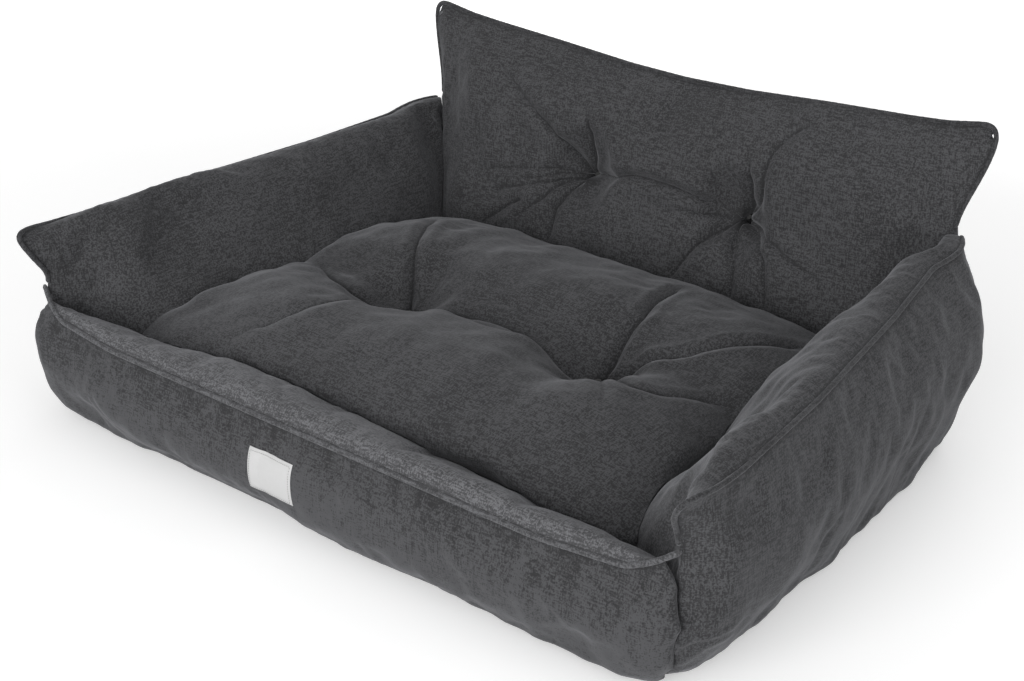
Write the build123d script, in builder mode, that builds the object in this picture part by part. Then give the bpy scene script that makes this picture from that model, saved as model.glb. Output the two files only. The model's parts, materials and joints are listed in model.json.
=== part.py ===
from build123d import *

import os
from dataclasses import astuple, dataclass, replace
from math import atan2, cos, radians, sin, sqrt

# Dog sofa bed: four stuffed walls round a well, with one piped seam along their rim, and a loose
# tufted seat cushion in the well. Millimetres. +Z is up, the low front wall is at -Y, and the origin
# is the middle of the underside.

# Plan of the bed where it stands on the floor
BASE_FRONT_WIDTH = 860.0
BASE_BACK_WIDTH = 824.0
BASE_DEPTH = 600.0
BASE_CORNER_RADIUS = 60.0
WELL_WIDTH = 590.0
FRONT_WALL_DEPTH = 85.0
BACK_WALL_DEPTH = 75.0
WALL_TOE = 4.0

# Corner seams, as angles from the side wall's outward direction
FRONT_CORNER_SEAM = 34.0
BACK_CORNER_SEAM = 47.0

# Cloth, seams and piping
BASE_SHEET = 3.0
PANEL_THICKNESS = 1.8
CLEARANCE = 0.5
SEAM_GAP = 0.3
SEATING_GAP = 0.3
PIPING_DIAMETER = 5.5
PIPING_ARC_RADIUS = 3.2
EAR_TIP_REACH = 4.0

# Label sewn on the front wall
LABEL_WIDTH = 62.0
LABEL_THICKNESS = 1.0
LABEL_CENTRE_X = -36.5
LABEL_LOW_SHARE = 0.02
LABEL_HIGH_SHARE = 0.62
LABEL_MARGIN = 2.6
STITCH_LENGTH = 2.6
STITCH_PITCH = 4.4
STITCH_WIDTH = 0.6
STITCH_THICKNESS = 0.3

# Seat cushion
SEAT_GAP = 6.0
SEAT_FOOT_DRAW_IN = 5.0
SEAT_SEAM_HEIGHT = 118.0
SEAT_FLY_HEIGHT = 12.0
SEAT_FLY_GAP = 27.0
SEAT_CREST = 165.0
SEAT_VALLEY = 145.0
SEAT_CORNER_DRAW = 60.0
SEAT_BULGE_SHARE = 0.09

# Tufts and the ties that hold them
SEAT_TUFT_SPACING = 274.0
SEAT_TUFT_Y = -22.0
SEAT_TUFT_HEIGHT = 106.0
SEAT_TUFT_DEPTH = 58.0
BACK_TUFT_SPACING = 224.0
BACK_TUFT_HEIGHT = 187.0
BACK_TUFT_WALL = 34.0
BACK_TUFT_DEPTH = 50.0
BACK_TUFT_LEAN = 17.0
SEAT_TUFT_MOUTH = 172.0
BACK_TUFT_MOUTH = 120.0
TUFT_THROAT = 10.0
TUFT_WAIST_SHARE = 0.44
TUFT_WAIST_DEPTH_SHARE = 0.4
UNDER_DIMPLE_MOUTH = 52.0
UNDER_DIMPLE_DEPTH = 9.0
TIE_DIAMETER = 2.4
KNOT_DIAMETER = 7.0
KNOT_THICKNESS = 2.4

# Zip along the back seam of the seat cushion
ZIP_LENGTH = 340.0
ZIP_TAPE_HEIGHT = 4.4
ZIP_TAPE_THICKNESS = 0.7
ZIP_TAPE_GAP = 0.8
ZIP_RECESS = 1.1
ZIP_COIL_WIDTH = 2.8
ZIP_COIL_THICKNESS = 1.5
ZIP_COIL_ROUNDING = 0.6
ZIP_STOP_LENGTH = 2.6
ZIP_STOP_WIDTH = 4.2
SLIDER_LENGTH = 10.0
SLIDER_WIDTH = 7.6
SLIDER_PLATE = 1.0
SLIDER_CLEARANCE = 0.3
LUG_THICKNESS = 1.0
LUG_DIAMETER = 3.0
PIN_DIAMETER = 1.2
PIN_CLEARANCE = 0.1
PULL_LENGTH = 17.0
PULL_WIDTH = 4.4
PULL_THICKNESS = 1.1
PULL_EYE_DIAMETER = 2.6
PULL_HOLE_DIAMETER = 1.8

CUT_OVERRUN = 30.0


@dataclass
class WallShape:
    """Cross-section of a wall. Outer points stand off the base outline, crest points off the rim."""

    low_out: float
    low_z: float
    bulge_out: float
    bulge_z: float
    shoulder_out: float
    shoulder_z: float
    rim_out: float
    rim_z: float
    near_in: float
    near_rise: float
    far_in: float
    far_rise: float
    inner_share: float
    inner_z: float


# Cross-sections of the walls, from the photograph
FRONT_MIDDLE = WallShape(
    32.0, 20.0, 44.0, 46.0, 41.0, 88.0, 26.0, 124.0, 13.0, 16.0, 36.0, 19.0, 0.36, 100.0
)
FRONT_NOTCH = WallShape(
    32.0, 22.0, 48.0, 66.0, 47.0, 112.0, 26.0, 156.0, 6.0, 4.0, 18.0, 1.0, 0.5, 96.0
)
SIDE_FRONT = WallShape(
    22.0, 30.0, 41.0, 92.0, 39.0, 156.0, 20.0, 223.0, 26.0, 6.0, 55.0, -14.0, 0.18, 122.0
)
SIDE_MIDDLE = WallShape(
    12.0, 30.0, 38.0, 100.0, 36.0, 160.0, 15.0, 221.0, 26.0, 6.0, 54.0, -14.0, 0.18, 122.0
)
SIDE_REAR = WallShape(
    4.0, 30.0, 33.0, 110.0, 27.0, 166.0, -5.0, 223.0, 24.0, 5.0, 48.0, -12.0, 0.19, 122.0
)
SIDE_BACK = WallShape(
    4.0, 30.0, 31.0, 110.0, 18.0, 168.0, -20.0, 230.0, 20.0, 4.0, 38.0, -8.0, 0.2, 122.0
)
SIDE_EAR = WallShape(
    32.0, 26.0, 48.0, 76.0, 27.0, 156.0, 57.0, 223.0, 33.0, -26.0, 50.0, -64.0, 0.5, 96.0
)
SIDE_NOTCH = WallShape(
    8.0, 34.0, 32.0, 116.0, 30.0, 176.0, 20.0, 236.0, 8.0, 1.0, 20.0, -6.0, 0.5, 122.0
)
BACK_MIDDLE = WallShape(
    14.0, 34.0, 40.0, 130.0, 43.0, 230.0, 31.0, 328.0, 36.0, -44.0, 62.0, -128.0, 0.17, 100.0
)
BACK_OUTER = WallShape(
    14.0, 34.0, 40.0, 130.0, 43.0, 236.0, 32.0, 345.0, 36.0, -44.0, 62.0, -145.0, 0.17, 100.0
)
BACK_CORNER = WallShape(
    12.0, 34.0, 38.0, 130.0, 39.0, 238.0, 34.0, 350.0, 36.0, -46.0, 60.0, -142.0, 0.2, 100.0
)
BACK_EAR = WallShape(
    8.0, 36.0, 32.0, 126.0, 22.0, 236.0, 46.0, 357.0, 30.0, -56.0, 44.0, -122.0, 0.5, 112.0
)

# Where the sections stand: shares of a wall's straight run, and angles and blends round its corners
SIDE_RUN_SHARES = (0.0, 0.27, 0.72, 1.0)
BACK_RUN_SHARES = (-1.0, -0.66, 0.0, 0.66, 1.0)
FRONT_CORNER_FAN = ((FRONT_CORNER_SEAM, 1.0), (41.5, 0.5), (49.0, 0.16), (90.0, 0.0))
SIDE_FRONT_FAN = ((FRONT_CORNER_SEAM, 1.0), (22.0, 0.36), (10.5, 0.1), (0.0, 0.0))
SIDE_BACK_FAN = ((0.0, 0.0), (14.0, 0.12), (26.0, 0.4), (37.0, 0.72), (BACK_CORNER_SEAM, 1.0))
BACK_CORNER_FAN = ((BACK_CORNER_SEAM, 1.0), (53.0, 0.62), (68.0, 0.25), (90.0, 0.0))

# Seat sections as shares: place along the half width, front crest, valley, back crest, corner draw
SEAT_RUN_SHARES = (
    (0.0, 1.0, 1.0, 0.96, 0.0),
    (0.22, 0.98, 0.96, 0.94, 0.0),
    (0.45, 0.9, 0.84, 0.8, 0.0),
    (0.62, 0.97, 0.9, 0.93, 0.0),
    (0.78, 0.88, 0.82, 0.84, 0.06),
    (0.88, 0.66, 0.62, 0.62, 0.16),
)
# Seat end sections as shares: foot's level below the seam, crests and draw as above, fly's height
SEAT_END_SHARES = (
    (0.0, 0.5, 0.46, 0.46, 0.3, 1.0),
    (0.5, 0.42, 0.38, 0.38, 0.42, 0.9),
    (0.72, 0.32, 0.28, 0.28, 0.66, 0.7),
    (0.88, 0.2, 0.17, 0.17, 1.0, 0.3),
)

seat_level = BASE_SHEET
back_y = BASE_DEPTH / 2
front_y = -back_y
well_front_y = front_y + FRONT_WALL_DEPTH
well_back_y = back_y - BACK_WALL_DEPTH
well_x = WELL_WIDTH / 2
side_front_depth = BASE_FRONT_WIDTH / 2 - well_x
side_back_depth = BASE_BACK_WIDTH / 2 - well_x
piping_radius = PIPING_DIAMETER / 2
filling_depth = PANEL_THICKNESS + CLEARANCE


def blend(first, second, share):
    """The wall shape part of the way from one shape to another."""
    pairs = zip(astuple(first), astuple(second))
    return WallShape(*(a + (b - a) * share for a, b in pairs))


def circle_centre(first, middle, last):
    """Centre of the circle through three points of a section."""
    a, b = middle - first, last - first
    cross = 2 * (a.X * b.Y - a.Y * b.X)
    along = (b.Y * a.dot(a) - a.Y * b.dot(b)) / cross
    across = (a.X * b.dot(b) - b.X * a.dot(a)) / cross
    return first + Vector(along, across)


def arc_at_height(arc, height, side):
    """How far out the left (-1) or right (1) side of a section's arc stands at a height."""
    centre = circle_centre(*arc)
    radius = (arc[0] - centre).length
    rise = min(abs(height - centre.Y), radius)
    return centre.X + side * sqrt(radius**2 - rise**2)


class Outline:
    """Closed section outline, counter-clockwise: corners, and an arc's middle point or None per edge."""

    def __init__(self, corners, middles):
        self.corners = corners
        self.middles = middles

    def headings(self, edge):
        """Directions at the start, middle and end of an edge."""
        start, end = self.corners[edge], self.corners[(edge + 1) % len(self.corners)]
        middle = self.middles[edge]
        if middle is None:
            return [(end - start).normalized()] * 3
        centre = circle_centre(start, middle, end)
        turn = 1 if (middle - start).cross(end - middle).Z > 0 else -1
        spokes = [point - centre for point in (start, middle, end)]
        return [Vector(-spoke.Y, spoke.X).normalized() * turn for spoke in spokes]

    def inset(self, distance, floor=None):
        """The same outline moved inward; a floor level keeps its lowest corners on that level."""
        corners, middles = [], []
        for i, corner in enumerate(self.corners):
            before, after = self.headings(i - 1)[2], self.headings(i)[0]
            first, second = Vector(-before.Y, before.X), Vector(-after.Y, after.X)
            moved = corner + (first + second) * (distance / (1 + first.dot(second)))
            if floor is not None and corner.Y <= floor:
                moved = Vector(moved.X, floor)
            corners.append(moved)
        for i, middle in enumerate(self.middles):
            if middle is not None:
                heading = self.headings(i)[1]
                middle = middle + Vector(-heading.Y, heading.X) * distance
            middles.append(middle)
        return Outline(corners, middles)

    def trace(self):
        """Draw the outline into the line block that is open."""
        for i, start in enumerate(self.corners):
            end = self.corners[(i + 1) % len(self.corners)]
            if self.middles[i] is None:
                Line(start, end)
            else:
                ThreePointArc(start, self.middles[i], end)


def corner_reach(depth_x, depth_y, angle):
    """Distance from the well's corner to the rounded base outline, along a direction."""
    along, across = cos(radians(angle)), sin(radians(angle))
    radius = BASE_CORNER_RADIUS
    if depth_x * across <= (depth_y - radius) * along:
        return depth_x / along
    if depth_y * along <= (depth_x - radius) * across:
        return depth_y / across
    centre_x, centre_y = depth_x - radius, depth_y - radius
    middle = along * centre_x + across * centre_y
    return middle + sqrt(radius**2 - centre_x**2 - centre_y**2 + middle**2)


@dataclass
class Station:
    """Upright section plane: a point on the well's edge, an outward direction, a depth and a shape."""

    x: float
    y: float
    out_x: float
    out_y: float
    depth: float
    shape: WallShape

    def plane(self):
        """Section plane with its own X outward and its own Y up."""
        return Plane(
            origin=(self.x, self.y, 0),
            x_dir=(self.out_x, self.out_y, 0),
            z_dir=(self.out_y, -self.out_x, 0),
        )

    def shifted(self, distance):
        """The same section, moved square to its plane."""
        return replace(self, x=self.x + self.out_y * distance, y=self.y - self.out_x * distance)

    def piping_centre(self):
        """Middle of the piping in this section."""
        return Vector(self.depth + self.shape.rim_out, self.shape.rim_z)

    def inward(self):
        """Direction from the middle of the piping into the wall, between its two skins."""
        s = self.shape
        shoulder = Vector(self.depth + s.shoulder_out, s.shoulder_z)
        near = Vector(-s.near_in, s.near_rise)
        return ((shoulder - self.piping_centre()).normalized() + near.normalized()).normalized()

    def outline(self):
        """Outside of the wall: outer foot, bulge, rim, inner shoulder and toe, with their arcs."""
        s, d = self.shape, self.depth
        centre = self.piping_centre()
        shoulder = Vector(d + s.shoulder_out, s.shoulder_z)
        near = centre + Vector(-s.near_in, s.near_rise)
        return Outline(
            [
                Vector(d, seat_level),
                Vector(d + s.bulge_out, s.bulge_z),
                centre + self.inward() * (piping_radius + SEATING_GAP),
                centre + Vector(-s.far_in, s.far_rise),
                Vector(WALL_TOE, seat_level),
            ],
            [
                Vector(d + s.low_out, s.low_z),
                shoulder,
                near,
                Vector(d * s.inner_share, s.inner_z),
                None,
            ],
        )

    def upper_skin(self):
        """Upper arc of the outer skin, from the bulge to the rim."""
        outline = self.outline()
        return outline.corners[1], outline.middles[1], outline.corners[2]

    def inner_skin(self):
        """Lower arc of the inner skin, from its shoulder to the toe."""
        outline = self.outline()
        return outline.corners[3], outline.middles[3], outline.corners[4]


def corner_stations(side, back, fan, straight, seam):
    """Stations that fan round one corner of the well. side is -1 on the left and 1 on the right."""
    depth_x = side_back_depth if back else side_front_depth
    depth_y = BACK_WALL_DEPTH if back else FRONT_WALL_DEPTH
    y, up = (well_back_y, 1) if back else (well_front_y, -1)
    return [
        Station(
            side * well_x,
            y,
            side * cos(radians(angle)),
            up * sin(radians(angle)),
            corner_reach(depth_x, depth_y, angle),
            blend(straight, seam, share),
        )
        for angle, share in fan
    ]


def front_stations():
    """Front wall, from its left corner seam to its right one."""
    left = corner_stations(-1, False, FRONT_CORNER_FAN, FRONT_MIDDLE, FRONT_NOTCH)
    right = corner_stations(1, False, FRONT_CORNER_FAN, FRONT_MIDDLE, FRONT_NOTCH)
    return left + right[::-1]


def left_stations():
    """Left wall, from its front corner seam to its back one."""
    run = well_back_y - well_front_y
    shapes = (SIDE_FRONT, SIDE_MIDDLE, SIDE_REAR, SIDE_BACK)
    middle = [
        Station(
            -well_x,
            well_front_y + run * share,
            -1,
            0,
            side_front_depth + (side_back_depth - side_front_depth) * share,
            shape,
        )
        for share, shape in zip(SIDE_RUN_SHARES, shapes)
    ]
    front = corner_stations(-1, False, SIDE_FRONT_FAN, SIDE_FRONT, SIDE_EAR)
    back = corner_stations(-1, True, SIDE_BACK_FAN, SIDE_BACK, SIDE_NOTCH)
    return front[:-1] + middle + back[1:]


def back_stations():
    """Back wall, from its left corner seam to its right one."""
    shapes = (BACK_CORNER, BACK_OUTER, BACK_MIDDLE, BACK_OUTER, BACK_CORNER)
    middle = [
        Station(well_x * share, well_back_y, 0, 1, BACK_WALL_DEPTH, shape)
        for share, shape in zip(BACK_RUN_SHARES, shapes)
    ]
    left = corner_stations(-1, True, BACK_CORNER_FAN, BACK_CORNER, BACK_EAR)
    right = corner_stations(1, True, BACK_CORNER_FAN, BACK_CORNER, BACK_EAR)
    return left[:-1] + middle + right[::-1][1:]


def outer_panel(stations):
    """Outer cover panel of a wall, from the floor to the rim."""
    with BuildPart() as panel:
        for station in stations:
            skin = station.outline()
            lining = skin.inset(PANEL_THICKNESS, seat_level)
            aside = (skin.middles[1] - skin.corners[2]).normalized() * (SEAM_GAP / 2)
            with BuildSketch(station.plane()):
                with BuildLine():
                    ThreePointArc(skin.corners[0], skin.middles[0], skin.corners[1])
                    ThreePointArc(skin.corners[1], skin.middles[1], skin.corners[2] + aside)
                    Line(skin.corners[2] + aside, lining.corners[2] + aside)
                    ThreePointArc(lining.corners[2] + aside, lining.middles[1], lining.corners[1])
                    ThreePointArc(lining.corners[1], lining.middles[0], lining.corners[0])
                    Line(lining.corners[0], skin.corners[0])
                make_face()
        loft(ruled=True)
    return panel


def inner_panel(stations):
    """Inner cover panel of a wall, from the rim down into the well."""
    with BuildPart() as panel:
        for station in stations:
            skin = station.outline()
            lining = skin.inset(PANEL_THICKNESS, seat_level)
            aside = (skin.middles[2] - skin.corners[2]).normalized() * (SEAM_GAP / 2)
            with BuildSketch(station.plane()):
                with BuildLine():
                    ThreePointArc(skin.corners[2] + aside, skin.middles[2], skin.corners[3])
                    ThreePointArc(skin.corners[3], skin.middles[3], skin.corners[4])
                    Line(skin.corners[4], lining.corners[4])
                    ThreePointArc(lining.corners[4], lining.middles[3], lining.corners[3])
                    ThreePointArc(lining.corners[3], lining.middles[2], lining.corners[2] + aside)
                    Line(lining.corners[2] + aside, skin.corners[2] + aside)
                make_face()
        loft(ruled=True)
    return panel


def wall_body(stations, depth):
    """Everything inside a wall's skins, that far in from them."""
    with BuildPart() as body:
        for station in stations:
            with BuildSketch(station.plane()):
                with BuildLine():
                    station.outline().inset(depth, seat_level).trace()
                make_face()
        loft(ruled=True)
    return body


def rim_route(stations):
    """Middle line of a rim's piping, drawn back at its ends and lifted where sections cut it slantwise."""
    centres = [station.plane().from_local_coords(station.piping_centre()) for station in stations]
    runs = [after - before for before, after in zip(centres[:1] + centres, centres[1:] + centres[-1:])]
    route = []
    for station, run in zip(stations, runs):
        squareness = abs(run.normalized().dot(station.plane().z_dir))
        lift = piping_radius / squareness**2 - piping_radius
        middle = station.piping_centre() - station.inward() * lift
        route.append(station.plane().from_local_coords(middle))
    route[0] += runs[0].normalized() * PIPING_DIAMETER
    route[-1] -= runs[-1].normalized() * PIPING_DIAMETER
    return route


def ear_route(station, turn, notch):
    """Middle line of the piping down an ear, from its tip to just over the neighbour's notch."""
    edge = station.shifted(turn * (piping_radius + SEATING_GAP))
    near = edge.outline().middles[2]
    waist = (near.X + arc_at_height(edge.upper_skin(), near.Y, -1)) / 2
    low = (edge.depth + notch.rim_out, notch.rim_z + PIPING_DIAMETER + SEATING_GAP)
    centre = edge.piping_centre()
    tip = centre + (centre - near).normalized() * EAR_TIP_REACH
    points = (tip, Vector(waist, near.Y), Vector(*low))
    return [edge.plane().from_local_coords(point) for point in points]


def piping(route):
    """Round piping along a route of straight runs, with a small arc round each of its points."""
    with BuildPart() as tube:
        with BuildLine() as path:
            FilletPolyline(*route, radius=PIPING_ARC_RADIUS)
        with BuildSketch(path.line ^ 0):
            Circle(piping_radius)
        sweep(path=path.line)
    return tube


def dimple(origin, direction, mouth, depth, growth=0.0):
    """Round dimple, sunk along a direction from its mouth to its throat at the origin."""
    side = direction.cross(Vector(1, 0, 0)).normalized()
    throat, rim = TUFT_THROAT / 2 + growth, mouth / 2 + growth
    waist = Vector(mouth / 2 * TUFT_WAIST_SHARE + growth, depth * TUFT_WAIST_DEPTH_SHARE)
    with BuildPart() as hollow:
        with BuildSketch(Plane(origin=origin, x_dir=side, z_dir=side.cross(direction))):
            with BuildLine():
                Line((0, -growth), (throat, -growth))
                ThreePointArc((throat, -growth), waist, (rim, depth))
                Line((rim, depth), (rim, depth + CUT_OVERRUN))
                Line((rim, depth + CUT_OVERRUN), (0, depth + CUT_OVERRUN))
                Line((0, depth + CUT_OVERRUN), (0, -growth))
            make_face()
        revolve(axis=Axis(origin, direction))
    return hollow.part


def rod(origin, direction, diameter, length):
    """Round rod from a point along a direction."""
    with BuildPart() as bar:
        with BuildSketch(Plane(origin=origin, z_dir=direction)):
            Circle(diameter / 2)
        extrude(amount=length)
    return bar.part


def save(piece, label):
    """Label a finished piece and write it."""
    piece.part.label = label
    export_step(piece.part, "parts/" + label + ".step")


def save_pair(piece, kind):
    """Write a left piece, and its mirror image on the right."""
    save(piece, "left_" + kind)
    with BuildPart() as twin:
        add(mirror(piece.part, about=Plane.YZ, mode=Mode.PRIVATE))
    save(twin, "right_" + kind)


os.makedirs("parts", exist_ok=True)

# Base panel under the walls and the seat cushion
with BuildPart() as base_panel:
    with BuildSketch():
        with BuildLine():
            Polyline(
                (-BASE_FRONT_WIDTH / 2, front_y),
                (BASE_FRONT_WIDTH / 2, front_y),
                (BASE_FRONT_WIDTH / 2, well_front_y),
                (BASE_BACK_WIDTH / 2, well_back_y),
                (BASE_BACK_WIDTH / 2, back_y),
                (-BASE_BACK_WIDTH / 2, back_y),
                (-BASE_BACK_WIDTH / 2, well_back_y),
                (-BASE_FRONT_WIDTH / 2, well_front_y),
                close=True,
            )
        make_face()
        ends = vertices().group_by(Axis.Y)
        fillet(ends[0] + ends[-1], radius=BASE_CORNER_RADIUS)
    extrude(amount=BASE_SHEET)
save(base_panel, "base_panel")

# Front wall
save(outer_panel(front_stations()), "front_outer_panel")
save(inner_panel(front_stations()), "front_inner_panel")
save(wall_body(front_stations(), filling_depth), "front_filling")
save(piping(rim_route(front_stations())), "front_piping")

# Side walls
save_pair(outer_panel(left_stations()), "outer_panel")
save_pair(inner_panel(left_stations()), "inner_panel")
save_pair(wall_body(left_stations(), filling_depth), "filling")
left_ear = ear_route(left_stations()[0], -1, FRONT_NOTCH)
save_pair(piping(left_ear[::-1] + rim_route(left_stations())[1:]), "piping")

# Back wall, with two tufts drawn in from the front by ties that run through it
back_station = Station(0, well_back_y, 0, 1, BACK_WALL_DEPTH, BACK_MIDDLE)
back_skin = well_back_y + arc_at_height(back_station.upper_skin(), BACK_TUFT_HEIGHT, 1)
lean = radians(BACK_TUFT_LEAN)
back_tuft_out = Vector(0, -cos(lean), sin(lean))
back_tufts = [
    Vector(side * BACK_TUFT_SPACING / 2, back_skin - BACK_TUFT_WALL, BACK_TUFT_HEIGHT) for side in (-1, 1)
]
back_tie_run = BACK_TUFT_WALL / cos(lean) + KNOT_DIAMETER / 2 + CLEARANCE

back_outer = outer_panel(back_stations())
back_inner = inner_panel(back_stations())
back_whole = wall_body(back_stations(), 0.0)
back_filling = wall_body(back_stations(), filling_depth)
tuft_holes = [rod(place, -back_tuft_out, TIE_DIAMETER + CLEARANCE, back_tie_run) for place in back_tufts]

with BuildPart() as back_outer_panel:
    add(back_outer.part)
    for hole in tuft_holes:
        add(hole, mode=Mode.SUBTRACT)
save(back_outer_panel, "back_outer_panel")

with BuildPart() as back_filling_tufted:
    add(back_filling.part)
    for place, hole in zip(back_tufts, tuft_holes):
        hollow = dimple(place, back_tuft_out, BACK_TUFT_MOUTH, BACK_TUFT_DEPTH, filling_depth)
        add(hollow, mode=Mode.SUBTRACT)
        add(hole, mode=Mode.SUBTRACT)
save(back_filling_tufted, "back_filling")

with BuildPart() as back_cups:
    for place in back_tufts:
        add(dimple(place, back_tuft_out, BACK_TUFT_MOUTH, BACK_TUFT_DEPTH, PANEL_THICKNESS))
    add(back_whole.part, mode=Mode.INTERSECT)

with BuildPart() as back_inner_panel:
    add(back_inner.part)
    add(back_cups.part)
    for place, hole in zip(back_tufts, tuft_holes):
        add(dimple(place, back_tuft_out, BACK_TUFT_MOUTH, BACK_TUFT_DEPTH), mode=Mode.SUBTRACT)
        add(hole, mode=Mode.SUBTRACT)
save(back_inner_panel, "back_inner_panel")
back_ears = [ear_route(back_stations()[end], turn, SIDE_NOTCH) for end, turn in ((0, -1), (-1, 1))]
save(piping(back_ears[0][::-1] + rim_route(back_stations())[1:-1] + back_ears[1]), "back_piping")

for place, side in zip(back_tufts, ("left", "right")):
    with BuildPart() as tie:
        add(rod(place, -back_tuft_out, TIE_DIAMETER, back_tie_run))
        add(rod(place, back_tuft_out, KNOT_DIAMETER, KNOT_THICKNESS))
        with Locations(place - back_tuft_out * back_tie_run):
            Sphere(KNOT_DIAMETER / 2)
    save(tie, "back_tuft_tie_" + side)

# Blank label on the front wall, and its border of stitches
label_station = Station(LABEL_CENTRE_X, well_front_y, 0, -1, FRONT_WALL_DEPTH, FRONT_MIDDLE)
label_arc = label_station.upper_skin()
label_axis = circle_centre(*label_arc)
label_radius = (label_arc[0] - label_axis).length + SEATING_GAP
label_face = label_radius + LABEL_THICKNESS


def label_turn(share):
    """Direction from the label's axis to a share of the upper skin's height."""
    height = label_arc[0].Y + (label_arc[2].Y - label_arc[0].Y) * share
    out = arc_at_height(label_arc, height, 1)
    return atan2(height - label_axis.Y, out - label_axis.X)


def label_point(turn, radius):
    """Point round the label's axis."""
    return label_axis + Vector(cos(turn), sin(turn)) * radius


low_turn, high_turn = label_turn(LABEL_LOW_SHARE), label_turn(LABEL_HIGH_SHARE)
middle_turn = (low_turn + high_turn) / 2
with BuildPart() as label_patch:
    with BuildSketch(label_station.plane()):
        with BuildLine():
            ThreePointArc(*(label_point(turn, label_face) for turn in (low_turn, middle_turn, high_turn)))
            Line(label_point(high_turn, label_face), label_point(high_turn, label_radius))
            ThreePointArc(*(label_point(turn, label_radius) for turn in (high_turn, middle_turn, low_turn)))
            Line(label_point(low_turn, label_radius), label_point(low_turn, label_face))
        make_face()
    extrude(amount=LABEL_WIDTH / 2, both=True)
save(label_patch, "label_patch")

seam_width = LABEL_WIDTH - 2 * LABEL_MARGIN
seam_low = low_turn + LABEL_MARGIN / label_face
seam_high = high_turn - LABEL_MARGIN / label_face
across_count = int((seam_width - STITCH_LENGTH) // STITCH_PITCH)
upright_count = int(((seam_high - seam_low) * label_face - STITCH_LENGTH) // STITCH_PITCH)
across_places = [(i - across_count / 2) * STITCH_PITCH for i in range(across_count + 1)]
upright_places = [(i - (upright_count - 1) / 2) * STITCH_PITCH / label_face for i in range(upright_count)]
stitches = [
    (place, turn, STITCH_LENGTH, STITCH_WIDTH)
    for place in across_places
    for turn in (seam_low, seam_high)
]
stitches += [
    (side * seam_width / 2, middle_turn + step, STITCH_WIDTH, STITCH_LENGTH)
    for step in upright_places
    for side in (-1, 1)
]
with BuildPart() as label_stitching:
    for place, turn, width, height in stitches:
        spot = label_point(turn, label_face + SEATING_GAP)
        origin = (LABEL_CENTRE_X + place, well_front_y - spot.X, spot.Y)
        with BuildSketch(Plane(origin=origin, x_dir=(1, 0, 0), z_dir=(0, -cos(turn), sin(turn)))):
            Rectangle(width, height)
        extrude(amount=STITCH_THICKNESS)
save(label_stitching, "label_stitching")


def side_limit(height):
    """Half the width that the side walls leave the seat cushion at a height."""
    depths = (side_front_depth, side_front_depth, side_back_depth, side_back_depth)
    shapes = (SIDE_FRONT, SIDE_MIDDLE, SIDE_REAR, SIDE_BACK)
    skins = [Station(0, 0, 1, 0, depth, shape).inner_skin() for depth, shape in zip(depths, shapes)]
    return well_x + min(arc_at_height(skin, height, -1) for skin in skins) - SEAT_GAP


def front_limit(height):
    """Front end of the space that the walls leave the seat cushion at a height."""
    skin = Station(0, 0, 0, -1, FRONT_WALL_DEPTH, FRONT_MIDDLE).inner_skin()
    return well_front_y - arc_at_height(skin, height, -1) + SEAT_GAP


def back_limit(height):
    """Back end of the space that the walls leave the seat cushion at a height."""
    return well_back_y + arc_at_height(back_station.inner_skin(), height, -1) - SEAT_GAP


fly_y = back_limit(SEAT_SEAM_HEIGHT) + SEAT_GAP - SEAT_FLY_GAP
seat_half_width = side_limit(SEAT_SEAM_HEIGHT)


@dataclass
class SeatSection:
    """Upright section of the seat cushion from front to back; the shares are of the named sizes."""

    x: float
    foot: float
    front_share: float
    valley_share: float
    back_share: float
    draw_share: float
    fly_share: float
    is_end: bool

    def outline(self):
        """Bottom, back border, fly, back lobe, front lobe and front border."""
        crown = SEAT_CREST - SEAT_SEAM_HEIGHT
        low = SEAT_SEAM_HEIGHT - SEAT_FLY_HEIGHT * self.fly_share / 2
        high = SEAT_SEAM_HEIGHT + SEAT_FLY_HEIGHT * self.fly_share / 2
        belly = (self.foot + low) / 2
        draw = SEAT_CORNER_DRAW * self.draw_share
        front_foot = front_limit(self.foot) + SEAT_FOOT_DRAW_IN + draw
        back_foot = back_limit(self.foot) - SEAT_FOOT_DRAW_IN - draw
        front_lip, back_lip = front_limit(low) + draw, fly_y - draw
        bulge = (low - self.foot) * SEAT_BULGE_SHARE
        front_belly = max(front_limit(belly) + draw, (front_foot + front_lip) / 2 - bulge)
        back_belly = min(back_limit(belly) - draw, (back_foot + back_lip) / 2 + bulge)
        valley = SEAT_SEAM_HEIGHT + (SEAT_VALLEY - SEAT_SEAM_HEIGHT) * self.valley_share
        return Outline(
            [
                Vector(front_foot, self.foot),
                Vector(back_foot, self.foot),
                Vector(back_lip, low),
                Vector(back_lip, high),
                Vector(SEAT_TUFT_Y, valley),
                Vector(front_lip, high),
            ],
            [
                None,
                Vector(back_belly, belly),
                None,
                Vector((SEAT_TUFT_Y + back_lip) / 2, SEAT_SEAM_HEIGHT + crown * self.back_share),
                Vector((SEAT_TUFT_Y + front_lip) / 2, SEAT_SEAM_HEIGHT + crown * self.front_share),
                Vector(front_belly, belly),
            ],
        )


def seat_sections():
    """Sections of the seat cushion's right half, from the middle outward."""
    middle = [
        SeatSection(share * seat_half_width, seat_level, *shares, 1.0, False)
        for share, *shares in SEAT_RUN_SHARES
    ]
    ends = []
    for foot_share, *shares in SEAT_END_SHARES:
        foot = seat_level + (SEAT_SEAM_HEIGHT - seat_level) * foot_share
        x = side_limit(foot)
        ends.append(SeatSection(x, foot, *shares, True))
    ends[0].x -= SEAT_FOOT_DRAW_IN
    ends[-1].x = side_limit((ends[-1].foot + SEAT_SEAM_HEIGHT) / 2)
    return middle + ends


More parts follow.
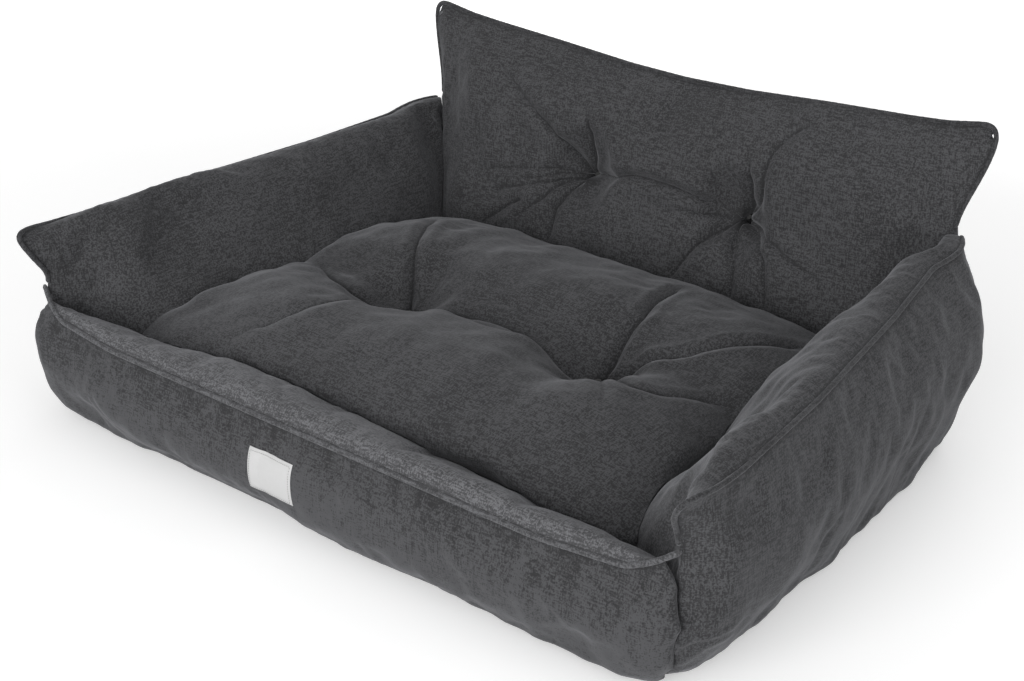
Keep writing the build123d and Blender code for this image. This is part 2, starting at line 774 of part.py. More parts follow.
def seat_body(depth):
    """Seat cushion before its tufts, that far in from its outside."""
    half = seat_sections()
    with BuildPart() as body:
        for side, sections in ((-1, half[:0:-1]), (1, half)):
            for section in sections:
                x = section.x - depth if section.is_end else section.x
                with BuildSketch(Plane(origin=(side * x, 0, 0), x_dir=(0, 1, 0), z_dir=(1, 0, 0))):
                    with BuildLine():
                        section.outline().inset(depth).trace()
                    make_face()
        loft(ruled=True)
    return body.part


# Seat cushion, with two tufts held by ties from its top to its underside
up = Vector(0, 0, 1)
seat_tufts = [Vector(side * SEAT_TUFT_SPACING / 2, SEAT_TUFT_Y, SEAT_TUFT_HEIGHT) for side in (-1, 1)]
under_level = seat_level + UNDER_DIMPLE_DEPTH
tie_run = SEAT_TUFT_HEIGHT - under_level


def tufted_seat(depth):
    """Seat cushion with its dimples, that far in from its outside."""
    with BuildPart() as body:
        add(seat_body(depth))
        for place in seat_tufts:
            add(dimple(place, up, SEAT_TUFT_MOUTH, SEAT_TUFT_DEPTH, depth), mode=Mode.SUBTRACT)
            under = Vector(place.X, place.Y, under_level)
            add(dimple(under, -up, UNDER_DIMPLE_MOUTH, UNDER_DIMPLE_DEPTH, depth), mode=Mode.SUBTRACT)
            add(rod(place, -up, TIE_DIAMETER + CLEARANCE, tie_run), mode=Mode.SUBTRACT)
    return body


recess_height = 2 * ZIP_TAPE_HEIGHT + ZIP_TAPE_GAP + 2 * SEATING_GAP
with BuildPart() as seat_shell:
    add(tufted_seat(0.0).part)
    add(tufted_seat(PANEL_THICKNESS).part, mode=Mode.SUBTRACT)
    with Locations((0, fly_y, SEAT_SEAM_HEIGHT)):
        Box(ZIP_LENGTH + 2 * SEATING_GAP, 2 * ZIP_RECESS, recess_height, mode=Mode.SUBTRACT)

with BuildPart() as seat_halves:
    add(seat_shell.part)
    split(bisect_by=Plane.XY.offset(SEAT_SEAM_HEIGHT), keep=Keep.BOTH)
halves = seat_halves.solids().sort_by(Axis.Z).sort_by(lambda solid: solid.bounding_box().size.X)
*cups, lower, upper = halves
with BuildPart() as seat_bottom_panel:
    add(lower)
save(seat_bottom_panel, "seat_bottom_panel")
with BuildPart() as seat_top_panel:
    add([upper, *cups])
save(seat_top_panel, "seat_top_panel")
save(tufted_seat(filling_depth), "seat_filling")

for place, side in zip(seat_tufts, ("left", "right")):
    with BuildPart() as tie:
        add(rod(place, -up, TIE_DIAMETER, tie_run))
        add(rod(place, up, KNOT_DIAMETER, KNOT_THICKNESS))
        add(rod(Vector(place.X, place.Y, under_level), -up, KNOT_DIAMETER, KNOT_THICKNESS))
    save(tie, "seat_tuft_tie_" + side)

# Zip: two tapes in the fly's recess, the coil over their gap, and a stop at each end
tape_floor = fly_y - ZIP_RECESS
tape_face = tape_floor + ZIP_TAPE_THICKNESS
coil_face = tape_face + ZIP_COIL_THICKNESS
coil_length = ZIP_LENGTH - 2 * ZIP_STOP_LENGTH
tape_offset = (ZIP_TAPE_GAP + ZIP_TAPE_HEIGHT) / 2
tape_plane = Plane(origin=(0, tape_floor, SEAT_SEAM_HEIGHT), x_dir=(-1, 0, 0), z_dir=(0, 1, 0))

with BuildPart() as zip_tapes:
    with BuildSketch(tape_plane):
        with Locations((0, tape_offset), (0, -tape_offset)):
            Rectangle(ZIP_LENGTH, ZIP_TAPE_HEIGHT)
    extrude(amount=ZIP_TAPE_THICKNESS)
save(zip_tapes, "seat_zip_tapes")

with BuildPart() as zip_coil:
    with BuildSketch(tape_plane.offset(ZIP_TAPE_THICKNESS)):
        Rectangle(coil_length, ZIP_COIL_WIDTH)
    extrude(amount=ZIP_COIL_THICKNESS)
    fillet(zip_coil.faces().sort_by(Axis.Y)[-1].edges().filter_by(Axis.X), ZIP_COIL_ROUNDING)
save(zip_coil, "seat_zip_coil")

stop_x = (ZIP_LENGTH - ZIP_STOP_LENGTH) / 2
with BuildPart() as zip_stops:
    with BuildSketch(tape_plane.offset(ZIP_TAPE_THICKNESS)):
        with Locations((-stop_x, 0), (stop_x, 0)):
            Rectangle(ZIP_STOP_LENGTH, ZIP_STOP_WIDTH)
    extrude(amount=ZIP_COIL_THICKNESS)
save(zip_stops, "seat_zip_stops")

# Slider at the right end of the zip, with its flanges beside the coil and two lugs for the pull
slider_x = (coil_length - SLIDER_LENGTH) / 2 - SLIDER_CLEARANCE
channel_width = ZIP_COIL_WIDTH + 2 * SLIDER_CLEARANCE
plate_low = coil_face + SLIDER_CLEARANCE
plate_high = plate_low + SLIDER_PLATE
flange_low = tape_face + SLIDER_CLEARANCE
pin_y = plate_high + PULL_EYE_DIAMETER / 2 + SLIDER_CLEARANCE
lug_z = PULL_WIDTH / 2 + SLIDER_CLEARANCE
pin_plane = Plane(origin=(slider_x, pin_y, SEAT_SEAM_HEIGHT))

with BuildPart() as zip_slider:
    with Locations((slider_x, (flange_low + plate_high) / 2, SEAT_SEAM_HEIGHT)):
        Box(SLIDER_LENGTH, plate_high - flange_low, SLIDER_WIDTH)
    with Locations((slider_x, (flange_low + plate_low) / 2, SEAT_SEAM_HEIGHT)):
        Box(SLIDER_LENGTH, plate_low - flange_low, channel_width, mode=Mode.SUBTRACT)
    for side in (-1, 1):
        with BuildSketch(pin_plane.offset(side * lug_z)):
            Circle(LUG_DIAMETER / 2)
            with Locations((0, (plate_high - pin_y) / 2)):
                Rectangle(LUG_DIAMETER, pin_y - plate_high)
        extrude(amount=side * LUG_THICKNESS)
    with BuildSketch(pin_plane):
        Circle(PIN_DIAMETER / 2)
    extrude(amount=lug_z, both=True)
save(zip_slider, "zip_slider")

with BuildPart() as zip_pull:
    with BuildSketch(pin_plane):
        Circle(PULL_EYE_DIAMETER / 2)
    extrude(amount=PULL_WIDTH / 2, both=True)
    with BuildSketch(Plane(origin=(slider_x, pin_y, SEAT_SEAM_HEIGHT), x_dir=(-1, 0, 0), z_dir=(0, 1, 0))):
        with Locations((-PULL_LENGTH / 2, 0)):
            RectangleRounded(PULL_LENGTH, PULL_WIDTH, PULL_WIDTH / 3)
        with Locations((PULL_WIDTH / 2 - PULL_LENGTH, 0)):
            Circle(PULL_HOLE_DIAMETER / 2, mode=Mode.SUBTRACT)
    extrude(amount=PULL_THICKNESS / 2, both=True)
    with BuildSketch(pin_plane):
        Circle(PIN_DIAMETER / 2 + PIN_CLEARANCE)
    extrude(amount=PULL_WIDTH, both=True, mode=Mode.SUBTRACT)
save(zip_pull, "zip_pull")
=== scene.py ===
"""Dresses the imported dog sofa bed: soft covers, piping, label, tufts and zip. Metres, +Z up."""

import json
import logging
import math
from dataclasses import dataclass, field
from enum import Enum
from typing import Callable, Sequence

import bmesh
import bpy
import numpy as np
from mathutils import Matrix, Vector
from mathutils.bvhtree import BVHTree

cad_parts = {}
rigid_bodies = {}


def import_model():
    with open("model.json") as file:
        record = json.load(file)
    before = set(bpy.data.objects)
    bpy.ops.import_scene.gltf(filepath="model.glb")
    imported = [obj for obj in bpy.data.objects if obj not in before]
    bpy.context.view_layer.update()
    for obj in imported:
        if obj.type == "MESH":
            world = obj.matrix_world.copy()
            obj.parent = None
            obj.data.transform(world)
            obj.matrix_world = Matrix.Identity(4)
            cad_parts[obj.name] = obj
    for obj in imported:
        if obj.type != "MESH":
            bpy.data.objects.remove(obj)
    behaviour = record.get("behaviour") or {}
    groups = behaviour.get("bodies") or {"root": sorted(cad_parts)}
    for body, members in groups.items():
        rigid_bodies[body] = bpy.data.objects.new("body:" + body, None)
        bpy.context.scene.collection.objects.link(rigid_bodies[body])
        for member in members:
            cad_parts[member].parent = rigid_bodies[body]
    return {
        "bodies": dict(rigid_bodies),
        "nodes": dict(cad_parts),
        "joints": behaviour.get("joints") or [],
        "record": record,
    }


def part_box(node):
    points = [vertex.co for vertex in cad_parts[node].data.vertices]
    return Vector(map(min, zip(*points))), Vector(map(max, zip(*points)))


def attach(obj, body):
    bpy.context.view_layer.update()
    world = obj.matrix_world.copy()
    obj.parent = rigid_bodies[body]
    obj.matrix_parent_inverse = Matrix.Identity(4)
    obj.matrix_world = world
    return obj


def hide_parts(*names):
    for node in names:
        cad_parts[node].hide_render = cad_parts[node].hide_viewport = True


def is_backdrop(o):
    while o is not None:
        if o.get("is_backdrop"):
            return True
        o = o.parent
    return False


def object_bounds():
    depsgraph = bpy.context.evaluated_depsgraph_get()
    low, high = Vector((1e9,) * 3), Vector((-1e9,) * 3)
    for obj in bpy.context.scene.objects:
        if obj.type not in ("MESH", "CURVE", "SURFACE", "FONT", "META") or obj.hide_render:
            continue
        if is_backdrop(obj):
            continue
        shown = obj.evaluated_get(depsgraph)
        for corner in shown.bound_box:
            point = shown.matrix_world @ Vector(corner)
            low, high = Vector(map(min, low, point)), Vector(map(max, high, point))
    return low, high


log = logging.getLogger("dog_sofa")

Colour = tuple[float, float, float]
Route = Sequence[tuple[float, float, float]]
Row = Sequence[bmesh.types.BMVert]
GroupMaker = Callable[[], bpy.types.ShaderNodeTree]
Span = tuple[float, float]

PIPING_RADIUS = 0.00275
SHEET_TOP = 0.0031
BEND_REACH = 0.012
FOLD_REACH = 0.01
# width of the painted shade's dark core in a fold, in metres per millimetre of the fold's width
FOLD_SHADE_CORE = 0.00022
ZIP_SEAM_Z = 0.118
CLOTH_PRESSURE = 2.6
YARN_RUNS = ((85.0, 620.0, 620.0), (620.0, 85.0, 620.0), (620.0, 620.0, 85.0))


class Side(Enum):
    """Left or right of the bed, seen from the front."""

    LEFT = -1
    RIGHT = 1


# Shader groups


def feed(tree: bpy.types.NodeTree, socket: bpy.types.NodeSocket, value: object) -> None:
    """Link an input to a value, or set it to a number.

    Args:
        tree: node tree that the input is in.
        socket: the input.
        value: socket or number.
    """
    if isinstance(value, bpy.types.NodeSocket):
        tree.links.new(value, socket)
    else:
        socket.default_value = value


def math_node(
    tree: bpy.types.NodeTree, operation: str, first: object, second: object, clamp: bool
) -> bpy.types.NodeSocket:
    """Add a math node to a tree.

    Args:
        tree: the node tree.
        operation: name of the operation.
        first: socket or number.
        second: socket or number.
        clamp: keeps the result from 0 to 1.

    Returns:
        The node's value.
    """
    node = tree.nodes.new("ShaderNodeMath")
    node.operation = operation
    node.use_clamp = clamp
    for socket, value in zip(node.inputs, (first, second)):
        feed(tree, socket, value)
    return node.outputs[0]


class GroupBuilder:
    """Lays out one shader node group with named sockets."""

    def __init__(self, name: str, inputs: dict[str, float], outputs: Sequence[str]) -> None:
        """Start a group.

        Args:
            name: name of the group.
            inputs: names and starting values of its number inputs.
            outputs: names of its number outputs.
        """
        self.tree = bpy.data.node_groups.new(name, "ShaderNodeTree")
        for label, value in inputs.items():
            socket = self.tree.interface.new_socket(label, in_out="INPUT", socket_type="NodeSocketFloat")
            socket.default_value = value
        for label in outputs:
            self.tree.interface.new_socket(label, in_out="OUTPUT", socket_type="NodeSocketFloat")
        self.source = self.tree.nodes.new("NodeGroupInput")
        self.sink = self.tree.nodes.new("NodeGroupOutput")

    def place(self) -> bpy.types.NodeSocket:
        """Object coordinates of the shaded point."""
        return self.tree.nodes.new("ShaderNodeTexCoord").outputs["Object"]

    def math(self, operation: str, first: object, second: object) -> bpy.types.NodeSocket:
        """Join two sockets or numbers inside the group."""
        return math_node(self.tree, operation, first, second, False)

    def noise(
        self, stretch: Sequence[float], scale: object, detail: float, roughness: float = 0.6
    ) -> bpy.types.NodeSocket:
        """Add a noise texture over the object's coordinates.

        Args:
            stretch: scale of the coordinates along X, Y and Z.
            scale: the noise's scale, socket or number.
            detail: number of octaves.
            roughness: weight of the finer octaves.

        Returns:
            The noise's value.
        """
        mapping = self.tree.nodes.new("ShaderNodeMapping")
        mapping.inputs["Scale"].default_value = stretch
        self.tree.links.new(self.place(), mapping.inputs["Vector"])
        texture = self.tree.nodes.new("ShaderNodeTexNoise")
        texture.inputs["Detail"].default_value = detail
        texture.inputs["Roughness"].default_value = roughness
        self.tree.links.new(mapping.outputs["Vector"], texture.inputs["Vector"])
        feed(self.tree, texture.inputs["Scale"], scale)
        return texture.outputs["Fac"]

    def put(self, label: str, value: bpy.types.NodeSocket) -> None:
        """Link a value to one of the group's outputs."""
        self.tree.links.new(value, self.sink.inputs[label])


def weave_group() -> bpy.types.ShaderNodeTree:
    """Yarns along the three axes, so that every face shows a crossed weave of light and dark yarn.

    Returns:
        The group's tree.
    """
    group = GroupBuilder("crossed_weave", {"Scale": 1.0, "Contrast": 1.0}, ("Tone", "Height"))
    scale = group.source.outputs["Scale"]
    runs = [group.noise(stretch, scale, 2.0) for stretch in YARN_RUNS]
    total = group.math("ADD", group.math("ADD", runs[0], runs[1]), runs[2])
    mean = group.math("MULTIPLY", total, 1 / 3)
    tone = group.math("MULTIPLY", group.math("SUBTRACT", mean, 0.5), group.source.outputs["Contrast"])
    group.put("Tone", tone)
    group.put("Height", mean)
    return group.tree


def nap_group() -> bpy.types.ShaderNodeTree:
    """Patches and streaks where a short nap is brushed one way or the other.

    Returns:
        The group's tree.
    """
    group = GroupBuilder("brushed_nap", {"Patches": 9.0, "Streaks": 1.0}, ("Tone",))
    patches = group.noise((1.0, 1.0, 1.0), group.source.outputs["Patches"], 4.0, 0.62)
    streaks = group.noise((60.0, 60.0, 7.0), 1.0, 4.0, 0.7)
    first = group.math("SUBTRACT", patches, 0.5)
    second = group.math("MULTIPLY", group.math("SUBTRACT", streaks, 0.5), group.source.outputs["Streaks"])
    group.put("Tone", group.math("ADD", first, second))
    return group.tree


def rise_group() -> bpy.types.ShaderNodeTree:
    """A soft step with height, 1 under the low level and 0 over the high level; it places the painted
    sheen low on a wall.

    Returns:
        The group's tree.
    """
    group = GroupBuilder("level_step", {"Low": 0.0, "High": 0.1}, ("Mask",))
    split = group.tree.nodes.new("ShaderNodeSeparateXYZ")
    group.tree.links.new(group.place(), split.inputs[0])
    ramp = group.tree.nodes.new("ShaderNodeMapRange")
    ramp.interpolation_type = "SMOOTHSTEP"
    group.tree.links.new(split.outputs["Z"], ramp.inputs["Value"])
    group.tree.links.new(group.source.outputs["Low"], ramp.inputs["From Min"])
    group.tree.links.new(group.source.outputs["High"], ramp.inputs["From Max"])
    ramp.inputs["To Min"].default_value = 1.0
    ramp.inputs["To Max"].default_value = 0.0
    group.put("Mask", ramp.outputs["Result"])
    return group.tree


class GroupShelf:
    """Each shader group, built once and shared by the materials."""

    _made: dict[str, bpy.types.NodeTree] = {}

    @classmethod
    def get(cls, make: GroupMaker) -> bpy.types.ShaderNodeTree:
        """The group that a function makes, made at its first use."""
        if make.__name__ not in cls._made:
            cls._made[make.__name__] = make()
        return cls._made[make.__name__]


class MaterialBuilder:
    """One material with a Principled BSDF, and helpers that wire groups into it."""

    def __init__(self, name: str, numbers: dict[str, float]) -> None:
        """Make the material.

        Args:
            name: its name.
            numbers: constants for the shader's own sockets.
        """
        self.material = bpy.data.materials.new(name)
        self.material.use_nodes = True
        self.nodes = self.material.node_tree.nodes
        self.links = self.material.node_tree.links
        self.shader = self.nodes["Principled BSDF"]
        for label, value in numbers.items():
            self.shader.inputs[label].default_value = value

    def group(self, make: GroupMaker, numbers: dict[str, float]) -> bpy.types.ShaderNode:
        """Place a shared group.

        Args:
            make: the group's function.
            numbers: values of its inputs here.

        Returns:
            The group node.
        """
        node = self.nodes.new("ShaderNodeGroup")
        node.node_tree = GroupShelf.get(make)
        for label, value in numbers.items():
            node.inputs[label].default_value = value
        return node

    def combine(
        self, operation: str, first: object, second: object, clamp: bool = False
    ) -> bpy.types.NodeSocket:
        """Join two sockets or numbers inside the material."""
        return math_node(self.material.node_tree, operation, first, second, clamp)

    def colour_between(self, share: bpy.types.NodeSocket, dark: Colour, light: Colour) -> None:
        """Base colour that runs from a dark to a light tone with a share.

        Args:
            share: value that picks the tone, 0 for the dark one.
            dark: the dark tone.
            light: the light tone.
        """
        mix = self.nodes.new("ShaderNodeMix")
        mix.data_type = "RGBA"
        mix.inputs["A"].default_value = (*dark, 1.0)
        mix.inputs["B"].default_value = (*light, 1.0)
        self.links.new(share, mix.inputs["Factor"])
        self.links.new(mix.outputs["Result"], self.shader.inputs["Base Color"])

    def paint_shade(self, share: bpy.types.NodeSocket, mark: str, depth: float) -> bpy.types.NodeSocket:
        """Painted shade: take away from a share where the mesh carries a mark.

        Args:
            share: value that is lowered.
            mark: name of the mesh's attribute, 0 to 1.
            depth: how much is taken away at 1.

        Returns:
            The lowered value.
        """
        attribute = self.nodes.new("ShaderNodeAttribute")
        attribute.attribute_name = mark
        return self.combine("SUBTRACT", share, self.combine("MULTIPLY", attribute.outputs["Fac"], depth))

    def bump(self, height: bpy.types.NodeSocket, depth: float, strength: float) -> None:
        """Relief from a height.

        Args:
            height: value that gives the height.
            depth: height of the relief in metres.
            strength: share of the relief that shows.
        """
        node = self.nodes.new("ShaderNodeBump")
        node.inputs["Distance"].default_value = depth
        node.inputs["Strength"].default_value = strength
        self.links.new(height, node.inputs["Height"])
        self.links.new(node.outputs["Normal"], self.shader.inputs["Normal"])


# Finishes


@dataclass(frozen=True)
class Chenille:
    """Melange cover cloth with a short nap."""

    name: str
    tone: float = 0.05
    spread: float = 0.42
    patches: float = 1.1
    streaks: float = 0.35
    # painted sheen: the three fields below make the cloth lighter towards the bottom of the piece
    painted_low_sheen: float = 0.0
    sheen_low: float = 0.0
    sheen_high: float = 0.12
    # painted shade: how far the fold mark darkens the cloth in folds, in tufts and along the piping
    fold_shade_depth: float = 1.1
    yarn_contrast: float = 9.5
    yarn_relief: float = 0.0006

    def material(self) -> bpy.types.Material:
        """Build the cloth's material.

        Returns:
            The material.
        """
        build = MaterialBuilder(
            self.name,
            {
                "Roughness": 0.92,
                "Specular IOR Level": 0.18,
                "Sheen Weight": 0.28,
                "Sheen Roughness": 0.45,
            },
        )
        build.shader.inputs["Sheen Tint"].default_value = (0.75, 0.76, 0.8, 1.0)
        weave = build.group(weave_group, {"Scale": 1.0, "Contrast": self.yarn_contrast})
        nap = build.group(nap_group, {"Patches": 9.0, "Streaks": self.streaks})
        # painted sheen: the step lifts the tone low on the piece
        step = build.group(rise_group, {"Low": self.sheen_low, "High": self.sheen_high})
        brushed = build.combine("MULTIPLY", nap.outputs["Tone"], self.patches)
        share = build.combine("ADD", build.combine("ADD", weave.outputs["Tone"], brushed), 0.5)
        low_sheen = build.combine("MULTIPLY", step.outputs["Mask"], self.painted_low_sheen)
        # painted shade: darken the cloth where the mesh's fold mark lies
        share = build.paint_shade(build.combine("ADD", share, low_sheen), "fold", self.fold_shade_depth)
        dark = self.tone * (1 - self.spread)
        light = self.tone * (1 + self.spread)
        build.colour_between(share, (dark, dark, dark * 1.05), (light, light * 1.005, light * 1.06))
        build.bump(weave.outputs["Height"], self.yarn_relief, 0.55)
        return build.material


@dataclass(frozen=True)
class PlainCloth:
    """Close-woven cloth, such as a label, a tape or the sheet under the bed."""

    name: str
    tone: float
    scale: float = 1.5
    contrast: float = 0.9
    sheen: float = 0.1
    roughness: float = 0.85

    def material(self) -> bpy.types.Material:
        """Build the material of a close weave.

        Returns:
            The material.
        """
        build = MaterialBuilder(
            self.name,
            {"Roughness": self.roughness, "Specular IOR Level": 0.25, "Sheen Weight": self.sheen},
        )
        weave = build.group(weave_group, {"Scale": self.scale, "Contrast": self.contrast})
        share = build.combine("ADD", weave.outputs["Tone"], 0.5)
        dark, light = self.tone * 0.78, self.tone * 1.22
        build.colour_between(share, (dark, dark, dark), (light, light, light))
        build.bump(weave.outputs["Height"], 0.0003, 0.5)
        return build.material


@dataclass(frozen=True)
class Enamel:
    """Dark painted metal or nylon of the zip, a little worn."""

    name: str
    tone: float
    metallic: float
    roughness: float

    def material(self) -> bpy.types.Material:
        """Build the zip's material.

        Returns:
            The material.
        """
        build = MaterialBuilder(self.name, {"Metallic": self.metallic, "Specular IOR Level": 0.5})
        nap = build.group(nap_group, {"Patches": 160.0, "Streaks": 0.6})
        share = build.combine("ADD", nap.outputs["Tone"], 0.5, clamp=True)
        build.colour_between(share, (self.tone * 0.8,) * 3, (self.tone * 1.3,) * 3)
        rough = build.combine("MULTIPLY", build.combine("ADD", share, 0.6), self.roughness)
        build.links.new(rough, build.shader.inputs["Roughness"])
        build.bump(nap.outputs["Tone"], 0.0001, 0.3)
        return build.material


# Routes along the rims


class Path3D:
    """A line of points in space, with the distance to it and the place along it."""

    def __init__(self, points: Route) -> None:
        """Keep the points as an array.

        Args:
            points: points of the line, in metres.
        """
        self.points = np.asarray(points, float)
        steps = np.linalg.norm(np.diff(self.points, axis=0), axis=1)
        self.marks = np.concatenate(([0.0], np.cumsum(steps)))

    @property
    def length(self) -> float:
        """Length of the line."""
        return float(self.marks[-1])

    def at(self, places: np.ndarray) -> np.ndarray:
        """Points at distances along the line."""
        return np.stack([np.interp(places, self.marks, self.points[:, i]) for i in range(3)], axis=1)

    def nearest(self, points: np.ndarray) -> tuple[np.ndarray, np.ndarray]:
        """Distance from points to the line, and the place along it.

        Args:
            points: array of points.

        Returns:
            The distances and the places of the nearest points of the line.
        """
        best = np.full(len(points), np.inf)
        place = np.zeros(len(points))
        for i, (a, b) in enumerate(zip(self.points, self.points[1:])):
            run = b - a
            share = np.clip((points - a) @ run / max(run @ run, 1e-12), 0, 1)
            gap = np.linalg.norm(points - a - share[:, None] * run, axis=1)
            closer = gap < best
            best[closer] = gap[closer]
            place[closer] = self.marks[i] + share[closer] * math.sqrt(run @ run)
        return best, place

    def tips(self, span: int = 3, sharp: float = 0.55) -> list["Path3D"]:
        """Short pieces of the line where it turns round the tip of an ear.

        Args:
            span: number of steps over which a turn is measured.
            sharp: cosine under which a turn counts.

        Returns:
            One piece of the line per tip.
        """
        ahead = np.diff(self.points, axis=0)
        ahead /= np.linalg.norm(ahead, axis=1, keepdims=True)
        turn = np.array([ahead[i] @ ahead[i + span] for i in range(len(ahead) - span)])
        found = []
        for i in range(1, len(turn) - 1):
            sharpest = turn[i] <= turn[i - 1] and turn[i] < turn[i + 1]
            if turn[i] < sharp and sharpest:
                found.append(Path3D(self.points[i + 1 : i + span + 1]))
        return found

    def smoothed(self, reach: float, step: float = 0.008) -> "Path3D":
        """The line with its bends rounded over a reach, in even steps.

        Args:
            reach: length over which a bend is rounded.
            step: length of a step.

        Returns:
            The rounded line, with the same ends.
        """
        places = np.linspace(0, self.length, max(int(self.length / step), 8) + 1)
        half = np.minimum(np.minimum(places, self.length - places), reach)
        shares = np.linspace(-1, 1, 9)
        weights = 1 - np.abs(shares) * 0.85
        total = sum(w * self.at(places + s * half) for s, w in zip(shares, weights))
        return Path3D(total / weights.sum())


def ease(values: np.ndarray, low: float, high: float) -> np.ndarray:
    """Soft step from 0 at low to 1 at high."""
    share = np.clip((values - low) / (high - low), 0, 1)
    return share * share * (3 - 2 * share)


def bell(values: np.ndarray, width: float) -> np.ndarray:
    """Bell curve, 1 in the middle and about a third at the width."""
    return np.exp(-((values / width) ** 2))


def ripple(places: np.ndarray, wavelength: float, seed: float) -> np.ndarray:
    """Uneven ripple along a line, the same at each run.

    Args:
        places: distances along the line.
        wavelength: usual distance between two crests.
        seed: number that picks the pattern.

    Returns:
        Heights from -1 to 1.
    """
    turn = 2 * math.pi / wavelength
    first = np.sin(places * turn + seed)
    second = np.sin(places * turn * 1.73 + seed * 2.1)
    third = np.sin(places * turn * 0.37 + seed * 3.7)
    return (first + 0.7 * second) * (0.55 + 0.45 * third) / 1.7


def cloud(points: np.ndarray, wavelength: float, seed: int, waves: int = 14) -> np.ndarray:
    """Soft random dents over a surface.

    Args:
        points: places on the surface.
        wavelength: usual distance between two dents.
        seed: number that picks the pattern.
        waves: number of waves that are added up.

    Returns:
        Heights of about -1 to 1.
    """
    chance = np.random.default_rng(seed)
    runs = chance.normal(size=(waves, 3))
    runs /= np.linalg.norm(runs, axis=1, keepdims=True)
    lengths = wavelength * chance.uniform(0.7, 1.8, waves)
    phases = chance.uniform(0, 2 * math.pi, waves)
    turns = points @ (runs / lengths[:, None]).T * 2 * math.pi + phases
    return np.sin(turns).sum(axis=1) / math.sqrt(waves / 2) * 0.7


# Soft forms


